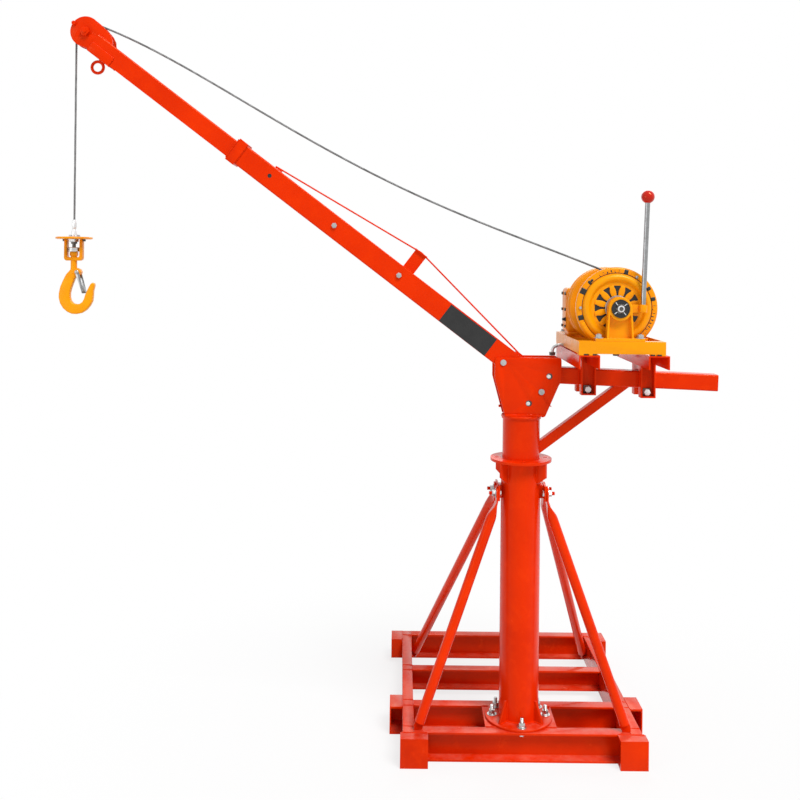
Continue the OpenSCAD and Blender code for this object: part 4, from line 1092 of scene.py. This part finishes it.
for node, ease in (("beam_front", 1.4), ("beam_second", 1.4), ("beam_third", 1.4), ("beam_rear", 1.4),
                   ("rail_left", 2.0), ("rail_right", 2.0), ("column_plate", 1.6), ("corner_feet", 2.0),
                   ("strut_feet", 1.2), ("column_foot", 1.4)):
    soften(node, BASE_RED_SHADE_AND_DUST, ease)
for node, ease in (("column_head", 1.4), ("mast_cap", 4.0), ("head_cheeks", 1.8), ("head_box", 1.2),
                   ("clamp_near", 1.4), ("clamp_far", 1.4), ("boom_collar", 2.4), ("tip_plates", 2.4),
                   ("tip_pad", 2.0)):
    soften(node, RED, ease)
for node, corner in (("tail_beam", 7.0), ("tail_brace", 5.0), ("outer_boom", 7.0), ("inner_boom", 7.0)):
    soften(node, RED, 1.0, corner=corner)
for node, ease in (("winch_bed", 1.4), ("pedestal_front", 2.0), ("pedestal_rear", 2.0), ("lever_arm", 2.0)):
    soften(node, YELLOW, ease)


struts()
strut_bolts()
column_bolts()
column_welds()
base_welds()
head_pins()
free_holes()
pin_wire()
hooked_bolts()
clamp_bolts()
boom_bolts()
boom_label()
boom_welds()
boom_tip()
ropes()
hook_block()
hook_forging()
hook_latch()
drum_casting()
rim_details()
shaft_end()
pedestal_bolts()
gear_case()
motor_case()
lever()

# ---------------------------------------------------------------- remaining CAD nodes

for nodes, finish in (
        (("column", "mast", "boom_stay", "lifting_eye", "sheave_axle"), RED),
        (("drum", "drum_face"), YELLOW), (("gear_housing",), CAST), (("motor",), GREY),
        (("thrust_bearing", "winch_shaft", "sheave"), BARE), (("pivot_bolt", "lock_pin", "hook_latch"), ZINC),
        (("rope_front", "rope_rear", "rope_fall"), ROPE), (("rope_socket",), ALUMINIUM),
        (("hook_disc", "hook_yoke", "hook", "hook_nut"), HOOK_PAINT), (("lever_rod",), CHROME_ROD),
        (("lever_knob",), KNOB)):
    for node in nodes:
        coated = NODES[node].data.materials
        coated.clear()
        coated.append(finish["material"])


# ---------------------------------------------------------------- floor, light and camera

def seen_with_mirrors(tree, level):
    """The level, or 1 where the ray comes by way of a mirror or glass."""
    path = tree.nodes.new("ShaderNodeLightPath")
    for kind in ("Is Glossy Ray", "Is Transmission Ray"):
        larger = tree.nodes.new("ShaderNodeMath")
        larger.operation = "MAXIMUM"
        tree.links.new(level, larger.inputs[0])
        tree.links.new(path.outputs[kind], larger.inputs[1])
        level = larger.outputs[0]
    return level


def floor():
    """Pale floor, white to the camera and in mirrors, but less so near the crane, where its shadow shows."""
    ground = bmesh.new()
    bmesh.ops.create_grid(ground, x_segments=1, y_segments=1, size=30)
    mesh = bpy.data.meshes.new("floor")
    ground.to_mesh(mesh)
    ground.free()
    obj = bpy.data.objects.new("floor", mesh)
    bpy.context.scene.collection.objects.link(obj)
    obj.location.z = -0.0005
    n = Nodes("pale_floor")
    n.fill(n.shader, {"Base Color": (0.75, 0.75, 0.75, 1), "Roughness": 0.9, "Specular IOR Level": 0.0})
    reach = n.node("VectorMath", {0: n.place}, operation="LENGTH").outputs["Value"]
    camera_ray = n.node("LightPath", {}).outputs["Is Camera Ray"]
    seen = n.times(n.spread(reach, 0.9, 2.4, 0.78, 1.0, "SMOOTHSTEP"), camera_ray)
    blend = n.node("MixShader", {0: seen_with_mirrors(n.tree, seen), 1: n.shader.outputs[0],
                                 2: n.node("Emission", {}).outputs[0]})
    n.fill(n.out, {"Surface": blend.outputs[0]})
    n.material.cycles.emission_sampling = "NONE"
    mesh.materials.append(n.material)


def white_room():
    """World that lights the crane softly and is white for the camera and in mirrors."""
    world = bpy.data.worlds.new("white_room")
    world.use_nodes = True
    world.cycles.sampling_method = "NONE"
    bpy.context.scene.world = world
    tree = world.node_tree
    level = tree.nodes.new("ShaderNodeMapRange")
    level.inputs["To Min"].default_value = 0.36
    seen = seen_with_mirrors(tree, tree.nodes.new("ShaderNodeLightPath").outputs["Is Camera Ray"])
    tree.links.new(seen, level.inputs["Value"])
    back = tree.nodes["Background"]
    back.inputs["Color"].default_value = (1, 1, 1, 1)
    tree.links.new(level.outputs[0], back.inputs["Strength"])


def lamps():
    for name, kind, spot, aim, power in (
            ("key", "SUN", (1.7, -2.7, 5.7), (0.0, 0.0, 1.2), 3.0),
            ("fill", "AREA", (-5.2, -3.6, 2.4), (-0.6, 0.0, 1.3), 45),
            ("rim", "AREA", (1.0, 4.2, 4.6), (0.0, 0.0, 1.5), 60)):
        lamp = bpy.data.lights.new(name, kind)
        if kind == "SUN":
            lamp.angle = 0.50
        else:
            lamp.size = 3.0
        lamp.energy = power
        holder = bpy.data.objects.new(name, lamp)
        bpy.context.scene.collection.objects.link(holder)
        holder.location = spot
        holder.rotation_euler = (Vector(aim) - Vector(spot)).to_track_quat("-Z", "Y").to_euler()


def camera():
    yaw, pitch, roll = -0.00166, 0.00463, 0.01026
    ahead = Vector((math.sin(yaw) * math.cos(pitch), math.cos(yaw) * math.cos(pitch), math.sin(pitch)))
    right = Vector((math.cos(yaw), -math.sin(yaw), 0))
    up = right.cross(ahead)
    right, up = (math.cos(roll) * right + math.sin(roll) * up,
                 math.cos(roll) * up - math.sin(roll) * right)
    lens = bpy.data.cameras.new("view")
    lens.sensor_width = 36
    lens.lens = 42.26481
    lens.shift_y = -0.175
    lens.clip_end = 200
    view = bpy.data.objects.new("view", lens)
    bpy.context.scene.collection.objects.link(view)
    turn = Matrix((right, up, -ahead)).transposed().to_4x4()
    view.matrix_world = Matrix.Translation((-0.51923, -4.02415, 2.0475)) @ turn
    bpy.context.scene.camera = view


bpy.context.scene.view_settings.view_transform = "Standard"
floor()
white_room()
lamps()
camera()
